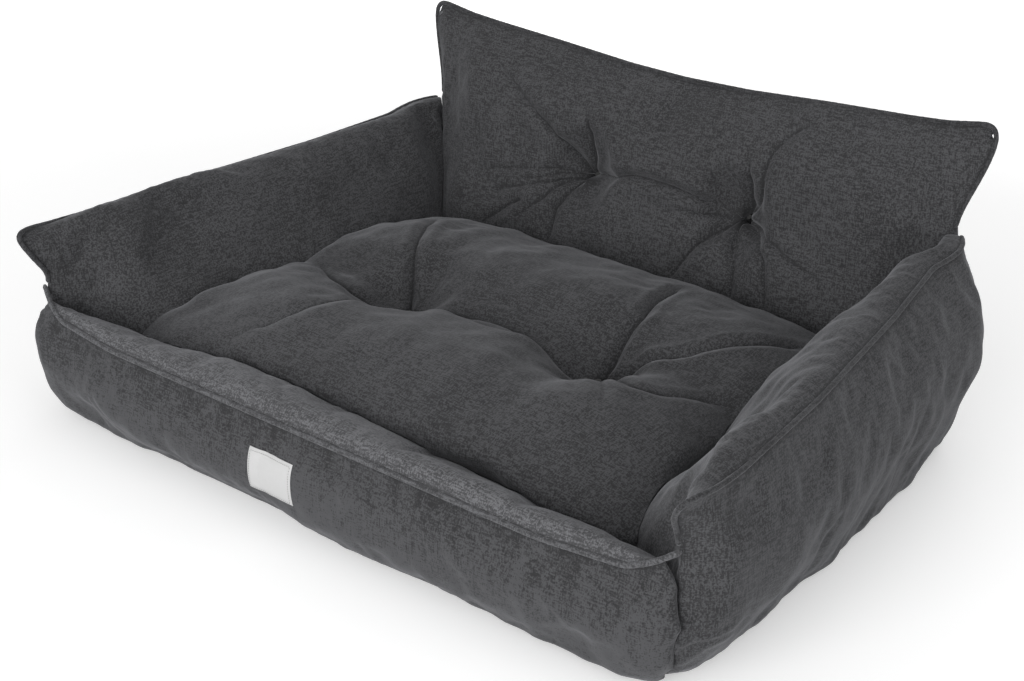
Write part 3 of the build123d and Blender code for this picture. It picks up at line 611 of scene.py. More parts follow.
class SoftForm:
    """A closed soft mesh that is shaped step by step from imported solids."""

    def __init__(self, name: str, nodes: Sequence[str], voxel: float) -> None:
        """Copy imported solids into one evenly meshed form.

        Args:
            name: name of the new piece.
            nodes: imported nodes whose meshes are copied.
            voxel: edge length of the new mesh.
        """
        shape = bmesh.new()
        for node in nodes:
            shape.from_mesh(bpy.data.objects[node].data)
        bmesh.ops.remove_doubles(shape, verts=shape.verts, dist=1e-5)
        mesh = bpy.data.meshes.new(name)
        shape.to_mesh(mesh)
        shape.free()
        self.piece = bpy.data.objects.new(name, mesh)
        bpy.context.scene.collection.objects.link(self.piece)
        remesh = self.piece.modifiers.new("even_mesh", "REMESH")
        remesh.mode = "VOXEL"
        remesh.voxel_size = voxel
        self.bake()

    def bake(self) -> None:
        """Apply the modifiers to the mesh."""
        view = bpy.context.evaluated_depsgraph_get()
        mesh = bpy.data.meshes.new_from_object(self.piece.evaluated_get(view))
        self.piece.modifiers.clear()
        self.piece.data = mesh

    @property
    def points(self) -> np.ndarray:
        """Places of the mesh's points.

        Returns:
            One row per point, in metres.
        """
        flat = np.zeros(len(self.piece.data.vertices) * 3)
        self.piece.data.vertices.foreach_get("co", flat)
        return flat.reshape(-1, 3)

    @points.setter
    def points(self, places: np.ndarray) -> None:
        """Move the mesh's points."""
        self.piece.data.vertices.foreach_set("co", places.astype(np.float32).ravel())
        self.piece.data.update()

    @property
    def normals(self) -> np.ndarray:
        """Outward directions at the mesh's points.

        Returns:
            One row of length 1 per point.
        """
        flat = np.zeros(len(self.piece.data.vertices) * 3)
        self.piece.data.vertices.foreach_get("normal", flat)
        return flat.reshape(-1, 3)

    def lift_to(self, level: float) -> None:
        """Lift whatever lies under a level up to it.

        Args:
            level: the lowest height that is left.
        """
        points = self.points
        points[:, 2] = np.maximum(points[:, 2], level)
        self.points = points

    def push(self, amount: np.ndarray) -> None:
        """Move the points along their normals."""
        self.points = self.points + self.normals * np.asarray(amount).reshape(-1, 1)

    def smooth(self, times: int, share: float = 0.5, keep: np.ndarray | None = None) -> None:
        """Move each point towards its neighbours.

        Args:
            times: number of rounds.
            share: share of the way per round.
            keep: from 0 to 1 per point, how firmly it stays.
        """
        edges = np.zeros(len(self.piece.data.edges) * 2, int)
        self.piece.data.edges.foreach_get("vertices", edges)
        a, b = edges.reshape(-1, 2).T
        points = self.points
        count = np.bincount(a, minlength=len(points)) + np.bincount(b, minlength=len(points))
        loose = share * (1 - keep if keep is not None else np.ones(len(points)))
        for _ in range(times):
            total = np.zeros_like(points)
            for axis in range(3):
                total[:, axis] = np.bincount(a, points[b, axis], len(points))
                total[:, axis] += np.bincount(b, points[a, axis], len(points))
            points = points + (total / np.maximum(count, 1)[:, None] - points) * loose[:, None]
        self.points = points

    def meet(self, line: Path3D, reach: float, sunk: float, cell_size: float = 0.006) -> None:
        """Draw the nearest edge of the form to a line, so that no gap is left beside it.

        Args:
            line: the line that the edge meets.
            reach: width of the strip that is drawn along.
            sunk: distance at which the edge stops short of the line, or runs past it if negative.
            cell_size: length of line over which the nearest point is looked for.
        """
        points = self.points
        gap, place = line.nearest(points)
        cells = max(int(line.length / cell_size), 2)
        cell = np.minimum((place / line.length * cells).astype(int), cells - 1)
        low = np.full(cells, np.inf)
        np.minimum.at(low, cell, gap)
        known = np.flatnonzero(low < 0.03)
        low = np.interp(place / line.length * cells - 0.5, known, low[known])
        share = np.clip((gap - low) / reach, 0, 1)
        pull = np.where(gap < low + reach, (low - sunk) * (1 - share) ** 1.3, 0.0)
        ahead = (line.at(place) - points) / np.maximum(gap, 1e-6)[:, None]
        self.points = points + ahead * pull[:, None]

    def subdivide(self) -> None:
        """Divide the mesh once, with smooth rounding."""
        modifier = self.piece.modifiers.new("finer", "SUBSURF")
        modifier.levels = 1
        self.bake()

    def refine(self, chosen: np.ndarray) -> None:
        """Divide the faces round chosen points once more.

        Args:
            chosen: true for each chosen point.
        """
        shape = bmesh.new()
        shape.from_mesh(self.piece.data)
        edges = [edge for edge in shape.edges if all(chosen[vert.index] for vert in edge.verts)]
        bmesh.ops.subdivide_edges(shape, edges=edges, cuts=1, use_grid_fill=True)
        shape.to_mesh(self.piece.data)
        shape.free()

    def pinch(self, centre: Sequence[float], axis: int, depth: np.ndarray, reach: float = 0.014) -> None:
        """Draw the throat of a tuft together.

        Args:
            centre: middle of the tuft.
            axis: number of the axis along which the tuft runs.
            depth: from 0 to 1 per point, how much of the pull it takes.
            reach: width of the part that is drawn in.
        """
        points = self.points
        across = points - np.asarray(centre)
        across[:, axis] = 0
        gap = np.linalg.norm(across, axis=1)
        self.points = points - across * (0.96 * bell(gap, reach) * depth)[:, None]

    def close_up(self, other: "SoftForm", reach: float = 0.009, kept: float = 0.0004) -> None:
        """Draw this form and a neighbour together along the seam between them.

        Args:
            other: the neighbour.
            reach: widest gap that is drawn in.
            kept: gap that is left.
        """
        places = []
        for form, facing in ((self, other), (other, self)):
            tree = facing.tree()
            points = form.points
            low, high = facing.points.min(axis=0) - reach, facing.points.max(axis=0) + reach
            for i in np.flatnonzero(np.all((points > low) & (points < high), axis=1)):
                spot, _, _, gap = tree.find_nearest(Vector(points[i]), reach)
                if spot is None or gap < kept:
                    continue
                share = 1 - ((gap - kept) / reach) ** 2
                points[i] += (np.array(spot) - points[i]) * (share * (gap - kept) / gap / 2)
            places.append(points)
        self.points, other.points = places

    def puff(self, pins: np.ndarray, pressure: float, slack: float, cap: float, frames: int = 8) -> None:
        """Let the cover swell as cloth over its filling.

        Args:
            pins: from 0 to 1 per point, how firmly it is held.
            pressure: pressure of the filling.
            slack: extra width of the cloth, as a share.
            cap: longest way that a point may move.
            frames: length of the simulation.
        """
        before = self.points
        group = self.piece.vertex_groups.new(name="held")
        for level in np.unique(np.round(pins, 2)):
            members = np.flatnonzero(np.round(pins, 2) == level)
            if level > 0:
                group.add(members.tolist(), float(level), "REPLACE")
        modifier = self.piece.modifiers.new("cloth", "CLOTH")
        settings = modifier.settings
        settings.quality = 4
        settings.mass = 0.3
        settings.tension_stiffness = settings.compression_stiffness = 15
        settings.shear_stiffness = 5
        settings.bending_stiffness = 0.5
        settings.air_damping = 3
        settings.use_pressure = True
        settings.uniform_pressure_force = pressure
        settings.vertex_group_mass = "held"
        settings.shrink_min = -slack
        settings.effector_weights.gravity = 0
        modifier.collision_settings.use_collision = False
        modifier.point_cache.frame_start = 1
        modifier.point_cache.frame_end = frames
        scene = bpy.context.scene
        for frame in range(1, frames + 1):
            scene.frame_set(frame)
        self.bake()
        scene.frame_set(1)
        self.piece.vertex_groups.clear()
        move = self.points - before
        size = np.linalg.norm(move, axis=1, keepdims=True)
        self.points = before + move * np.minimum(1, cap / np.maximum(size, 1e-9))

    def clear_of(self, others: Sequence["SoftForm"], gap: float) -> None:
        """Press the form back wherever it would enter another one.

        Args:
            others: forms that stay as they are.
            gap: space that is kept.
        """
        points = self.points
        for other in others:
            tree = other.tree()
            low = other.points.min(axis=0) - 0.01
            high = other.points.max(axis=0) + 0.01
            near = np.flatnonzero(np.all((points > low) & (points < high), axis=1))
            for i in near:
                spot, normal, _, distance = tree.find_nearest(Vector(points[i]), 0.06)
                if spot is None:
                    continue
                side = (Vector(points[i]) - spot).dot(normal)
                if side < 0 or distance < gap:
                    points[i] = spot + normal * gap
        self.points = points

    def tree(self) -> BVHTree:
        """Search tree of the mesh as it is now."""
        places = [vertex.co.copy() for vertex in self.piece.data.vertices]
        return BVHTree.FromPolygons(places, [face.vertices for face in self.piece.data.polygons])

    def mark(self, name: str, values: np.ndarray) -> None:
        """Keep a value per point on the mesh for the materials, here the painted shade."""
        layer = self.piece.data.attributes.new(name, "FLOAT", "POINT")
        layer.data.foreach_set("value", np.clip(values, 0, 1).astype(np.float32))

    def dress(
        self, materials: Sequence[bpy.types.Material], choose: np.ndarray | None = None
    ) -> bpy.types.Object:
        """Give the piece its materials and smooth shading.

        Args:
            materials: the piece's materials.
            choose: number of the material of each face, if there is more than one.

        Returns:
            The finished piece.
        """
        mesh = self.piece.data
        mesh.materials.clear()
        for material in materials:
            mesh.materials.append(material)
        if choose is not None:
            mesh.polygons.foreach_set("material_index", choose.astype(np.int32))
        mesh.polygons.foreach_set("use_smooth", np.ones(len(mesh.polygons), bool))
        mesh.update()
        return self.piece

    def face_centres(self) -> np.ndarray:
        """Middle of each face.

        Returns:
            One row per face, in metres.
        """
        flat = np.zeros(len(self.piece.data.polygons) * 3)
        self.piece.data.polygons.foreach_get("center", flat)
        return flat.reshape(-1, 3)


@dataclass(frozen=True)
class Crease:
    """A fold drawn into a soft surface along a line of points in two of its axes, in millimetres."""

    line: tuple[tuple[float, float], ...]
    depth: float = 4.0
    width: float = 7.0
    fade: float = 0.5

    def depth_at(self, flat: np.ndarray) -> np.ndarray:
        """How far the fold moves points that are given in the line's two axes.

        Args:
            flat: points in metres.

        Returns:
            Signed move along the normal, in metres.
        """
        gap, share = self.gap_at(flat)
        strength = self.depth / 1000 * (1 - share * self.fade) * np.clip((1 - share) * 6, 0, 1)
        width = self.width / 1000
        groove = 0.9 * np.exp(-gap / (width * 0.25)) + 0.7 * bell(gap, width * 1.3)
        lip = 0.4 * bell(gap - width * 1.7, width * 0.9)
        return strength * (lip - groove)

    def shade_at(self, flat: np.ndarray) -> np.ndarray:
        """Painted shade: how dark the bottom of the fold is.

        Args:
            flat: points in metres.

        Returns:
            Darkness of each point, from 0 to 1.
        """
        gap, share = self.gap_at(flat)
        core = np.exp(-gap / (self.width * FOLD_SHADE_CORE))
        return core * np.clip((1 - share) * 2.5, 0, 1) * min(self.depth / 5, 1)

    def gap_at(self, flat: np.ndarray) -> tuple[np.ndarray, np.ndarray]:
        """Distance of points from the fold's line, and the place along it.

        Args:
            flat: points in metres.

        Returns:
            The distances, 1 m for points far off, and the places as a share of the line.
        """
        path = Path3D([(a / 1000, b / 1000, 0.0) for a, b in self.line]).smoothed(BEND_REACH, 0.006)
        reach = self.width / 1000 * 4
        low, high = path.points[:, :2].min(axis=0) - reach, path.points[:, :2].max(axis=0) + reach
        near = np.all((flat > low) & (flat < high), axis=1)
        gap = np.full(len(flat), 1.0)
        place = np.zeros(len(flat))
        gap[near], place[near] = path.nearest(np.column_stack([flat[near], np.zeros(near.sum())]))
        return gap, place / max(place.max(), 1e-6)


def skin(shape: bmesh.types.BMesh, rows: Sequence[Row], closed: bool = False) -> None:
    """Stretch faces between rows of points.

    Args:
        shape: mesh that the faces go into.
        rows: the rows, with the same number of points.
        closed: makes each row a loop, and closes the first and the last one with a face.
    """
    for low, high in zip(rows, rows[1:]):
        count = len(low)
        for k in range(count if closed else count - 1):
            after = (k + 1) % count
            shape.faces.new((low[k], low[after], high[after], high[k]))
    if closed:
        shape.faces.new(rows[0][::-1])
        shape.faces.new(rows[-1])


def tube(name: str, path: Path3D, radius: float, sides: int, gather: float) -> bpy.types.Object:
    """Round tube along a line, with rounded ends.

    Args:
        name: name of the new piece.
        path: middle line.
        radius: radius of the tube.
        sides: faces round the tube.
        gather: share by which small gathers swell and thin the tube.

    Returns:
        The new object.
    """
    points = path.points
    count = len(points)
    ahead = np.gradient(points, axis=0)
    ahead /= np.linalg.norm(ahead, axis=1, keepdims=True)
    side = np.cross(ahead[0], (0.0, 0.0, 1.0))
    if np.linalg.norm(side) < 0.1:
        side = np.cross(ahead[0], (1.0, 0.0, 0.0))
    rings = []
    for i in range(count):
        side = side - ahead[i] * (side @ ahead[i])
        side /= np.linalg.norm(side)
        up = np.cross(ahead[i], side)
        swell = radius * (1 + gather * math.sin(i * 1.9) * math.sin(i * 0.37 + 1.0))
        if i in (0, count - 1):
            swell *= 0.6
        turns = [2 * math.pi * k / sides for k in range(sides)]
        rings.append([points[i] + (side * math.cos(t) + up * math.sin(t)) * swell for t in turns])
    shape = bmesh.new()
    skin(shape, [[shape.verts.new(place) for place in ring] for ring in rings], closed=True)
    bmesh.ops.recalc_face_normals(shape, faces=shape.faces)
    return piece_from(shape, name)


def piece_from(shape: bmesh.types.BMesh, name: str) -> bpy.types.Object:
    """Turn a bmesh into a smooth-shaded object in the scene and free it.

    Args:
        shape: the bmesh.
        name: name of the new piece.

    Returns:
        The new object.
    """
    mesh = bpy.data.meshes.new(name)
    shape.to_mesh(mesh)
    shape.free()
    mesh.polygons.foreach_set("use_smooth", np.ones(len(mesh.polygons), bool))
    piece = bpy.data.objects.new(name, mesh)
    bpy.context.scene.collection.objects.link(piece)
    return piece


# Walls

FRONT_RIM = (
    (-435.0, -304.5, 155.5), (-413.0, -314.5, 140.5), (-388.0, -320.6, 129.7), (-295.0, -326.0, 124.0),
    (-100.0, -326.0, 124.0), (100.0, -326.0, 124.0), (295.0, -326.0, 124.0), (388.0, -320.6, 129.7),
    (413.0, -314.5, 140.5), (435.0, -304.5, 155.5),
)
SIDE_RIM = (
    (430.8, -301.9, 159.5), (428.7, -303.0, 172.7), (432.2, -315.0, 191.0), (438.5, -321.5, 205.0),
    (445.5, -324.5, 214.5), (449.5, -321.0, 219.0), (452.0, -311.0, 220.0), (454.5, -297.0, 219.0),
    (454.7, -279.5, 217.0), (453.4, -244.4, 215.5), (450.0, -215.0, 215.0), (440.2, -96.2, 216.5),
    (412.1, 101.8, 219.5), (392.0, 225.0, 227.0), (395.8, 250.1, 228.5), (396.5, 274.5, 230.0),
    (390.1, 296.7, 231.5), (380.8, 309.1, 232.5),
)
BACK_EAR = (
    (372.0, 311.4, 240.0), (374.0, 314.0, 255.0), (379.0, 318.0, 272.0), (386.0, 322.5, 292.0),
    (392.5, 326.5, 312.0), (396.8, 329.5, 330.0), (398.2, 331.0, 343.0), (396.0, 332.0, 352.0),
    (390.0, 332.5, 356.0), (381.0, 333.0, 355.0),
)
BACK_TOP = (
    (-339.2, 334.4, 347.5), (-295.0, 334.0, 344.0), (-194.7, 332.0, 338.5), (-80.0, 331.2, 330.5),
    (0.0, 331.0, 328.5), (90.0, 331.2, 331.0), (194.7, 332.0, 338.5), (295.0, 334.0, 343.5),
    (339.2, 334.4, 347.0),
)


def metres(points: Route, side: int = 1) -> list[tuple[float, float, float]]:
    """Points from millimetres to metres, mirrored to the left where side is -1."""
    return [(x * side / 1000, y / 1000, z / 1000) for x, y, z in points]


@dataclass
class WallCover:
    """Soft cover of one wall over its filling, with the piping on its rim."""

    name: str
    nodes: tuple[str, ...]
    piping_node: str
    rim: Path3D
    voxel: float = 0.006
    dent: float = 0.0022
    dent_wave: float = 0.09
    pucker: float = 0.0011
    pucker_wave: float = 0.021
    pucker_reach: float = 0.022
    slack: float = 0.012
    swell: float = 0.01
    seam_reach: float = 0.018
    seam_hold: float = 0.012
    seam_calm: float = 0.02
    # painted shadow along the piping: how dark it is and how fast it fades
    seam_shade: float = 0.55
    seam_shade_reach: float = 0.0035
    foot_smooth: Span = (0.006, 0.016)
    foot_hold: Span = (0.005, 0.02)
    foot_dents: Span = (0.003, 0.009)
    foot_wave: float = 0.047
    foot_level: float = 0.012
    foot_reach: float = 0.03
    seed: int = 1
    fill: float = 0.6
    form: SoftForm = field(init=False)
    line: Path3D = field(init=False)

    def shape(self) -> None:
        """Build the swollen cover, and dent and pucker its surface."""
        form = SoftForm(self.name, self.nodes, self.voxel)
        self.line = self.rim.smoothed(BEND_REACH)
        form.points = self.trim(form.points)
        points = form.points
        gap, _ = self.line.nearest(points)
        seam = bell(gap, self.seam_reach)
        foot = 1 - ease(points[:, 2], *self.foot_smooth)
        form.smooth(times=3, share=0.5, keep=np.maximum(seam, foot) * 0.85)
        points = form.points
        seam = np.clip(1.6 - gap / self.seam_hold, 0, 1)
        foot = 1 - ease(points[:, 2], *self.foot_hold)
        form.puff(np.maximum(seam, foot), CLOTH_PRESSURE, self.slack, self.swell)
        form.subdivide()
        self.fold(form)
        self.detail(form)
        for _ in range(2):
            form.meet(self.line, reach=0.02, sunk=-0.0008)
            for tip in self.line.tips():
                form.meet(tip, reach=0.03, sunk=-0.0005)
        form.lift_to(SHEET_TOP)
        # painted shadow: a dark line beside the piping, joined with the painted shade of the folds in the
        # fold mark
        gap, _ = self.line.nearest(form.points)
        beyond = np.maximum(gap - PIPING_RADIUS, 0)
        seam = self.seam_shade * np.exp(-beyond / self.seam_shade_reach)
        form.mark("fold", np.maximum(seam, self.shade(form.points)))
        self.form = form

    def shade(self, points: np.ndarray) -> np.ndarray:
        """Painted shade: how dark each point is for lying deep in a fold, from 0 to 1."""
        return np.zeros(len(points))

    def fold(self, form: SoftForm) -> None:
        """Make room for sharp folds in the mesh, on a wall that has them."""

    def trim(self, points: np.ndarray) -> np.ndarray:
        """Shift the points of the plain form to the wall's fuller shape."""
        return points

    def detail(self, form: SoftForm) -> None:
        """Dent the surface and pucker it along its seams.

        Args:
            form: the cover's form.
        """
        points = form.points
        gap, place = self.line.nearest(points)
        away = np.clip(gap / self.seam_calm, 0, 1)
        push = cloud(points, self.dent_wave, self.seed) * self.dent * away
        push += cloud(points, self.dent_wave * 0.36, self.seed + 50) * self.dent * 0.35 * away
        puckers = ripple(place, self.pucker_wave, self.seed) * self.pucker
        push += puckers * np.exp(-gap / self.pucker_reach) * np.clip(gap / 0.006, 0, 1)
        foot = np.exp(-np.abs(points[:, 2] - self.foot_level) / self.foot_reach)
        push += ripple(place, self.foot_wave, self.seed + 2) * self.dent * 0.25 * foot
        push *= self.calm(points)
        push += self.extra(points, form.normals)
        form.push(push * ease(points[:, 2], *self.foot_dents))

    def calm(self, points: np.ndarray) -> np.ndarray:
        """Share of the dents that is kept at each point."""
        return np.ones(len(points))

    def extra(self, points: np.ndarray, normals: np.ndarray) -> np.ndarray:
        """Further folds of this wall.

        Args:
            points: places of the mesh's points.
            normals: outward directions there.

        Returns:
            Move along the normals.
        """
        return np.zeros(len(points))

    def build(
        self, body: str, materials: Sequence[bpy.types.Material], cord: bpy.types.Material
    ) -> None:
        """Dress the shaped cover, make its piping and tie them to the body.

        Args:
            body: body that they ride on.
            materials: cover cloth, outer first.
            cord: piping cloth.
        """
        cover = self.form.dress(materials, self.faces() if len(materials) > 1 else None)
        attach(cover, body)
        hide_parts(*self.nodes)
        route = self.rim.smoothed(BEND_REACH, 0.003)
        piping = tube(self.piping_node + "_line", route, PIPING_RADIUS, sides=12, gather=0.05)
        piping.data.materials.append(cord)
        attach(piping, body)
        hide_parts(self.piping_node)
        log.info("%s: %d points", self.name, len(cover.data.vertices))

    def faces(self) -> np.ndarray:
        """Number of the material on each face: 0 outside the rim, 1 inside it."""
        return np.zeros(len(self.form.piece.data.polygons), int)


@dataclass
class FrontWall(WallCover):
    """Low wall at the front."""

    crest: tuple[tuple[float, float], ...] = (
        (-0.44, 0.134), (-0.387, 0.134), (-0.298, 0.137), (-0.173, 0.146), (-0.095, 0.151),
        (-0.022, 0.148), (0.106, 0.142), (0.254, 0.136), (0.328, 0.136), (0.388, 0.135), (0.44, 0.133),
    )
    crest_y: float = -0.3
    crest_softness: float = 0.004
    slope: float = 0.77
    behind_rim: Span = (-0.322, -0.3)
    outer_side: Span = (-0.33, -0.315)
    hollow_level: float = 0.1
    hollow_reach: float = 0.022
    hollow_depth: float = 0.0035
    hollow_ends: Span = (0.33, 0.42)
    foot_depth: float = 0.008
    foot_rise: Span = (0.02, 0.07)
    foot_ends: Span = (0.33, 0.43)
    label_spot: Span = (-0.0365, 0.07)
    label_room: Span = (0.03, 0.022)

    def trim(self, points: np.ndarray) -> np.ndarray:
        """Slope the inner side from the crest down to the cushion.

        Args:
            points: the plain form's points.

        Returns:
            The wall's points.
        """
        across, heights = np.array(self.crest).T
        limit = np.interp(points[:, 0], across, heights) - self.slope * (points[:, 1] - self.crest_y)
        over = points[:, 2] - limit
        drop = self.crest_softness * np.logaddexp(0, over / self.crest_softness)
        behind = ease(points[:, 1], *self.behind_rim)
        points[:, 2] -= drop * behind
        points[:, 2] = np.maximum(points[:, 2], SHEET_TOP)
        outer = 1 - ease(points[:, 1], *self.outer_side)
        across = np.abs(points[:, 0])
        hollow = bell(points[:, 2] - self.hollow_level, self.hollow_reach)
        hollow = hollow * (1 - ease(across, *self.hollow_ends))
        foot = (1 - ease(points[:, 2], *self.foot_rise)) * (1 - ease(across, *self.foot_ends))
        points[:, 1] += outer * (hollow * self.hollow_depth + foot * self.foot_depth)
        return points

    def calm(self, points: np.ndarray) -> np.ndarray:
        """Keep the wall even under the label.

        Args:
            points: places of the mesh's points.

        Returns:
            Share of the dents at each point.
        """
        x, z = self.label_spot
        beside = np.maximum(np.abs(points[:, 0] - x) - self.label_room[0], 0)
        above = np.maximum(np.abs(points[:, 2] - z) - self.label_room[1], 0)
        gap = np.hypot(beside, above)
        return np.where(points[:, 1] < -0.32, ease(gap, 0.0, 0.02), 1.0)

    def faces(self) -> np.ndarray:
        """Outer cloth below the piping in front of it, and above and behind it the lighter brushed cloth,
        partly painted light.

        Returns:
            Number of the material on each face.
        """
        centres = self.form.face_centres()
        _, place = self.line.nearest(centres)
        rim = self.line.at(place)
        behind = (centres[:, 1] - rim[:, 1]) + (centres[:, 2] - rim[:, 2]) * 0.8
        return (behind > 0.0).astype(int)


@dataclass
class SideWall(WallCover):
    """Wall at the left or right, with its raised corner at the front."""

    side: Side = Side.LEFT
    inner_side: Span = (-0.45, -0.36)
    outer_side: Span = (0.36, 0.4)
    thin_run: Span = (-0.2, 0.06)
    thin_rise: Span = (0.07, 0.14)
    thin_depth: float = 0.03
    full_start: Span = (-0.2, -0.02)
    full_end: Span = (0.12, 0.26)
    full_depth: float = 0.013
    narrow_run: Span = (-0.26, -0.16)
    narrow_depth: float = 0.006
    low_level: float = 0.03
    low_reach: float = 0.045
    ear_foot: float = 0.158
    ear_inset: float = 0.0005
    wrinkle_place: tuple[float, float, float] = (0.44, -0.325, 0.07)
    wrinkle_wave: float = 0.021
    wrinkle_depth: float = 0.0012
    wrinkle_reach: float = 0.07

    def trim(self, points: np.ndarray) -> np.ndarray:
        """Thin the inner side towards the front and fill the outer side low at the back.

        Args:
            points: the plain form's points.

        Returns:
            The wall's points.
        """
        out = self.side.value
        reach = points[:, 0] * out
        inner = ease(-reach, *self.inner_side)
        along = points[:, 1]
        thin = inner * (1 - ease(along, *self.thin_run)) * ease(points[:, 2], *self.thin_rise)
        outer = ease(reach, *self.outer_side)
        fuller = ease(along, *self.full_start) * (1 - ease(along, *self.full_end))
        narrow = 1 - ease(along, *self.narrow_run)
        low = bell(points[:, 2] - self.low_level, self.low_reach)
        swell = outer * low * (fuller * self.full_depth - narrow * self.narrow_depth)
        points[:, 0] += out * (thin * self.thin_depth + swell)
        front = self.rim.points[:6]
        ahead = np.interp(points[:, 2], front[:, 2], front[:, 1]) - self.ear_inset
        kept = np.maximum(points[:, 1], ahead)
        points[:, 1] = np.where(points[:, 2] > self.ear_foot, kept, points[:, 1])
        return points

    def extra(self, points: np.ndarray, normals: np.ndarray) -> np.ndarray:
        """Level wrinkles at the front corner.

        Args:
            points: places of the mesh's points.
            normals: outward directions there.

        Returns:
            Move along the normals.
        """
        x, y, z = self.wrinkle_place
        corner = np.array((self.side.value * x, y, z))
        gap = np.linalg.norm((points - corner) / (1.0, 1.0, 0.8), axis=1)
        drift = cloud(points, 0.05, 3) * 3
        level = np.sin(points[:, 2] * 2 * math.pi / self.wrinkle_wave + drift)
        return level * self.wrinkle_depth * bell(gap, self.wrinkle_reach)


@dataclass
class BackWall(WallCover):
    """High wall at the back, drawn in by two tufts."""

    creases: tuple[Crease, ...] = ()
    tufts: tuple[tuple[float, float], ...] = ((-0.112, 0.187), (0.112, 0.187))
    tuft_shade_reach: float = 0.012
    tuft_throat: Span = (0.308, 0.322)
    front_limit: float = 0.318
    shade_limit: float = 0.32
    end_span: Span = (0.365, 0.385)
    end_level: float = 0.33
    end_reach: float = 0.035
    end_depth: float = 0.007
    ear_foot: float = 0.238
    ear_inset: float = 0.0005

    def trim(self, points: np.ndarray) -> np.ndarray:
        """Round out the two ends above the side walls.

        Args:
            points: the plain form's points.

        Returns:
            The wall's points.
        """
        end = ease(np.abs(points[:, 0]), *self.end_span)
        end = end * bell(points[:, 2] - self.end_level, self.end_reach)
        points[:, 0] += np.sign(points[:, 0]) * end * self.end_depth
        ear = np.array(BACK_EAR[:7]) / 1000
        limit = np.interp(points[:, 2], ear[:, 2], ear[:, 0]) + self.ear_inset
        cut = np.minimum(np.abs(points[:, 0]), limit) * np.sign(points[:, 0])
        points[:, 0] = np.where(points[:, 2] > self.ear_foot, cut, points[:, 0])
        return points

    def fold(self, form: SoftForm) -> None:
        """Make room for sharp folds in the mesh.

        Args:
            form: the cover's form.
        """
        points = form.points
        gaps = [crease.gap_at(points[:, [0, 2]])[0] for crease in self.creases]
        form.refine((np.min(gaps, axis=0) < FOLD_REACH) & (points[:, 1] < self.front_limit))

    def detail(self, form: SoftForm) -> None:
        """Fold the surface, then draw the tufts together.

        Args:
            form: the cover's form.
        """
        super().detail(form)
        for x, z in self.tufts:
            form.pinch((x, 0.3, z), axis=1, depth=1 - ease(form.points[:, 1], *self.tuft_throat))

    def shade(self, points: np.ndarray) -> np.ndarray:
        """Painted shade: dark lines at the bottom of the folds and in the tufts.

        Args:
            points: places of the mesh's points.

        Returns:
            Darkness of each point, from 0 to 1.
        """
        flat = points[:, [0, 2]]
        dark = np.max([crease.shade_at(flat) for crease in self.creases], axis=0)
        for tuft in self.tufts:
            gap = np.linalg.norm(flat - tuft, axis=1)
            dark = np.maximum(dark, bell(gap, self.tuft_shade_reach))
        return dark * (points[:, 1] < self.shade_limit)

    def extra(self, points: np.ndarray, normals: np.ndarray) -> np.ndarray:
        """Folds that run out from the tufts over the front of the wall.

        Args:
            points: places of the mesh's points.
            normals: outward directions there.

        Returns:
            Move along the normals.
        """
        front = np.clip(-normals[:, 1] * 1.5 + 0.4, 0, 1) * (points[:, 1] < self.front_limit)
        flat = points[:, [0, 2]]
        return sum(crease.depth_at(flat) for crease in self.creases) * front


BACK_CREASES = (
    Crease(
        ((-112, 188), (-124, 202), (-144, 229), (-172, 253), (-201, 270), (-235, 290), (-280, 318)),
        6.0, 8.0, 0.7,
    ),
    Crease(((-111, 190), (-108, 205), (-109, 217), (-106, 247), (-110, 285)), 5.0, 7.0),
    Crease(((-114, 187), (-149, 189), (-209, 174)), 3.5, 5.0),
    Crease(((-120, 188), (-158, 196), (-211, 187), (-265, 173)), 3.5, 5.0),
    Crease(((-116, 183), (-145, 181), (-179, 174), (-257, 146)), 4.0, 5.0),
    Crease(((-116, 182), (-131, 181), (-144, 177), (-159, 160), (-196, 126)), 4.5, 6.0),
    Crease(((-116, 180), (-127, 175), (-135, 162), (-139, 146), (-136, 107)), 5.0, 7.0, 0.2),
    Crease(((-190, 152), (-208, 142), (-249, 106)), 4.0, 7.0, 0.2),
    Crease(
        ((-108, 190), (-79, 200), (-30, 217), (26, 217), (62, 211), (86, 198), (108, 189)),
        6.0, 7.0, 0.0,
    ),
    Crease(((112, 187), (76, 190), (49, 193), (15, 186)), 3.5, 5.0),
    Crease(((114, 190), (121, 204), (126, 243), (124, 280)), 6.0, 7.0),
    Crease(
        ((116, 192), (136, 212), (145, 235), (146, 262), (152, 287), (168, 306), (203, 327)),
        4.5, 7.0,
    ),
    Crease(((110, 184), (79, 164), (69, 151), (58, 131), (48, 110)), 5.0, 7.0, 0.2),
    Crease(((112, 183), (113, 167), (131, 143), (137, 102)), 4.0, 6.0, 0.2),
    Crease(((115, 183), (133, 182), (163, 168), (179, 136), (186, 110)), 5.0, 7.0, 0.2),
    Crease(((117, 186), (134, 187), (164, 184), (184, 178), (221, 165), (253, 156)), 5.0, 7.0),
)


# Seat cushion

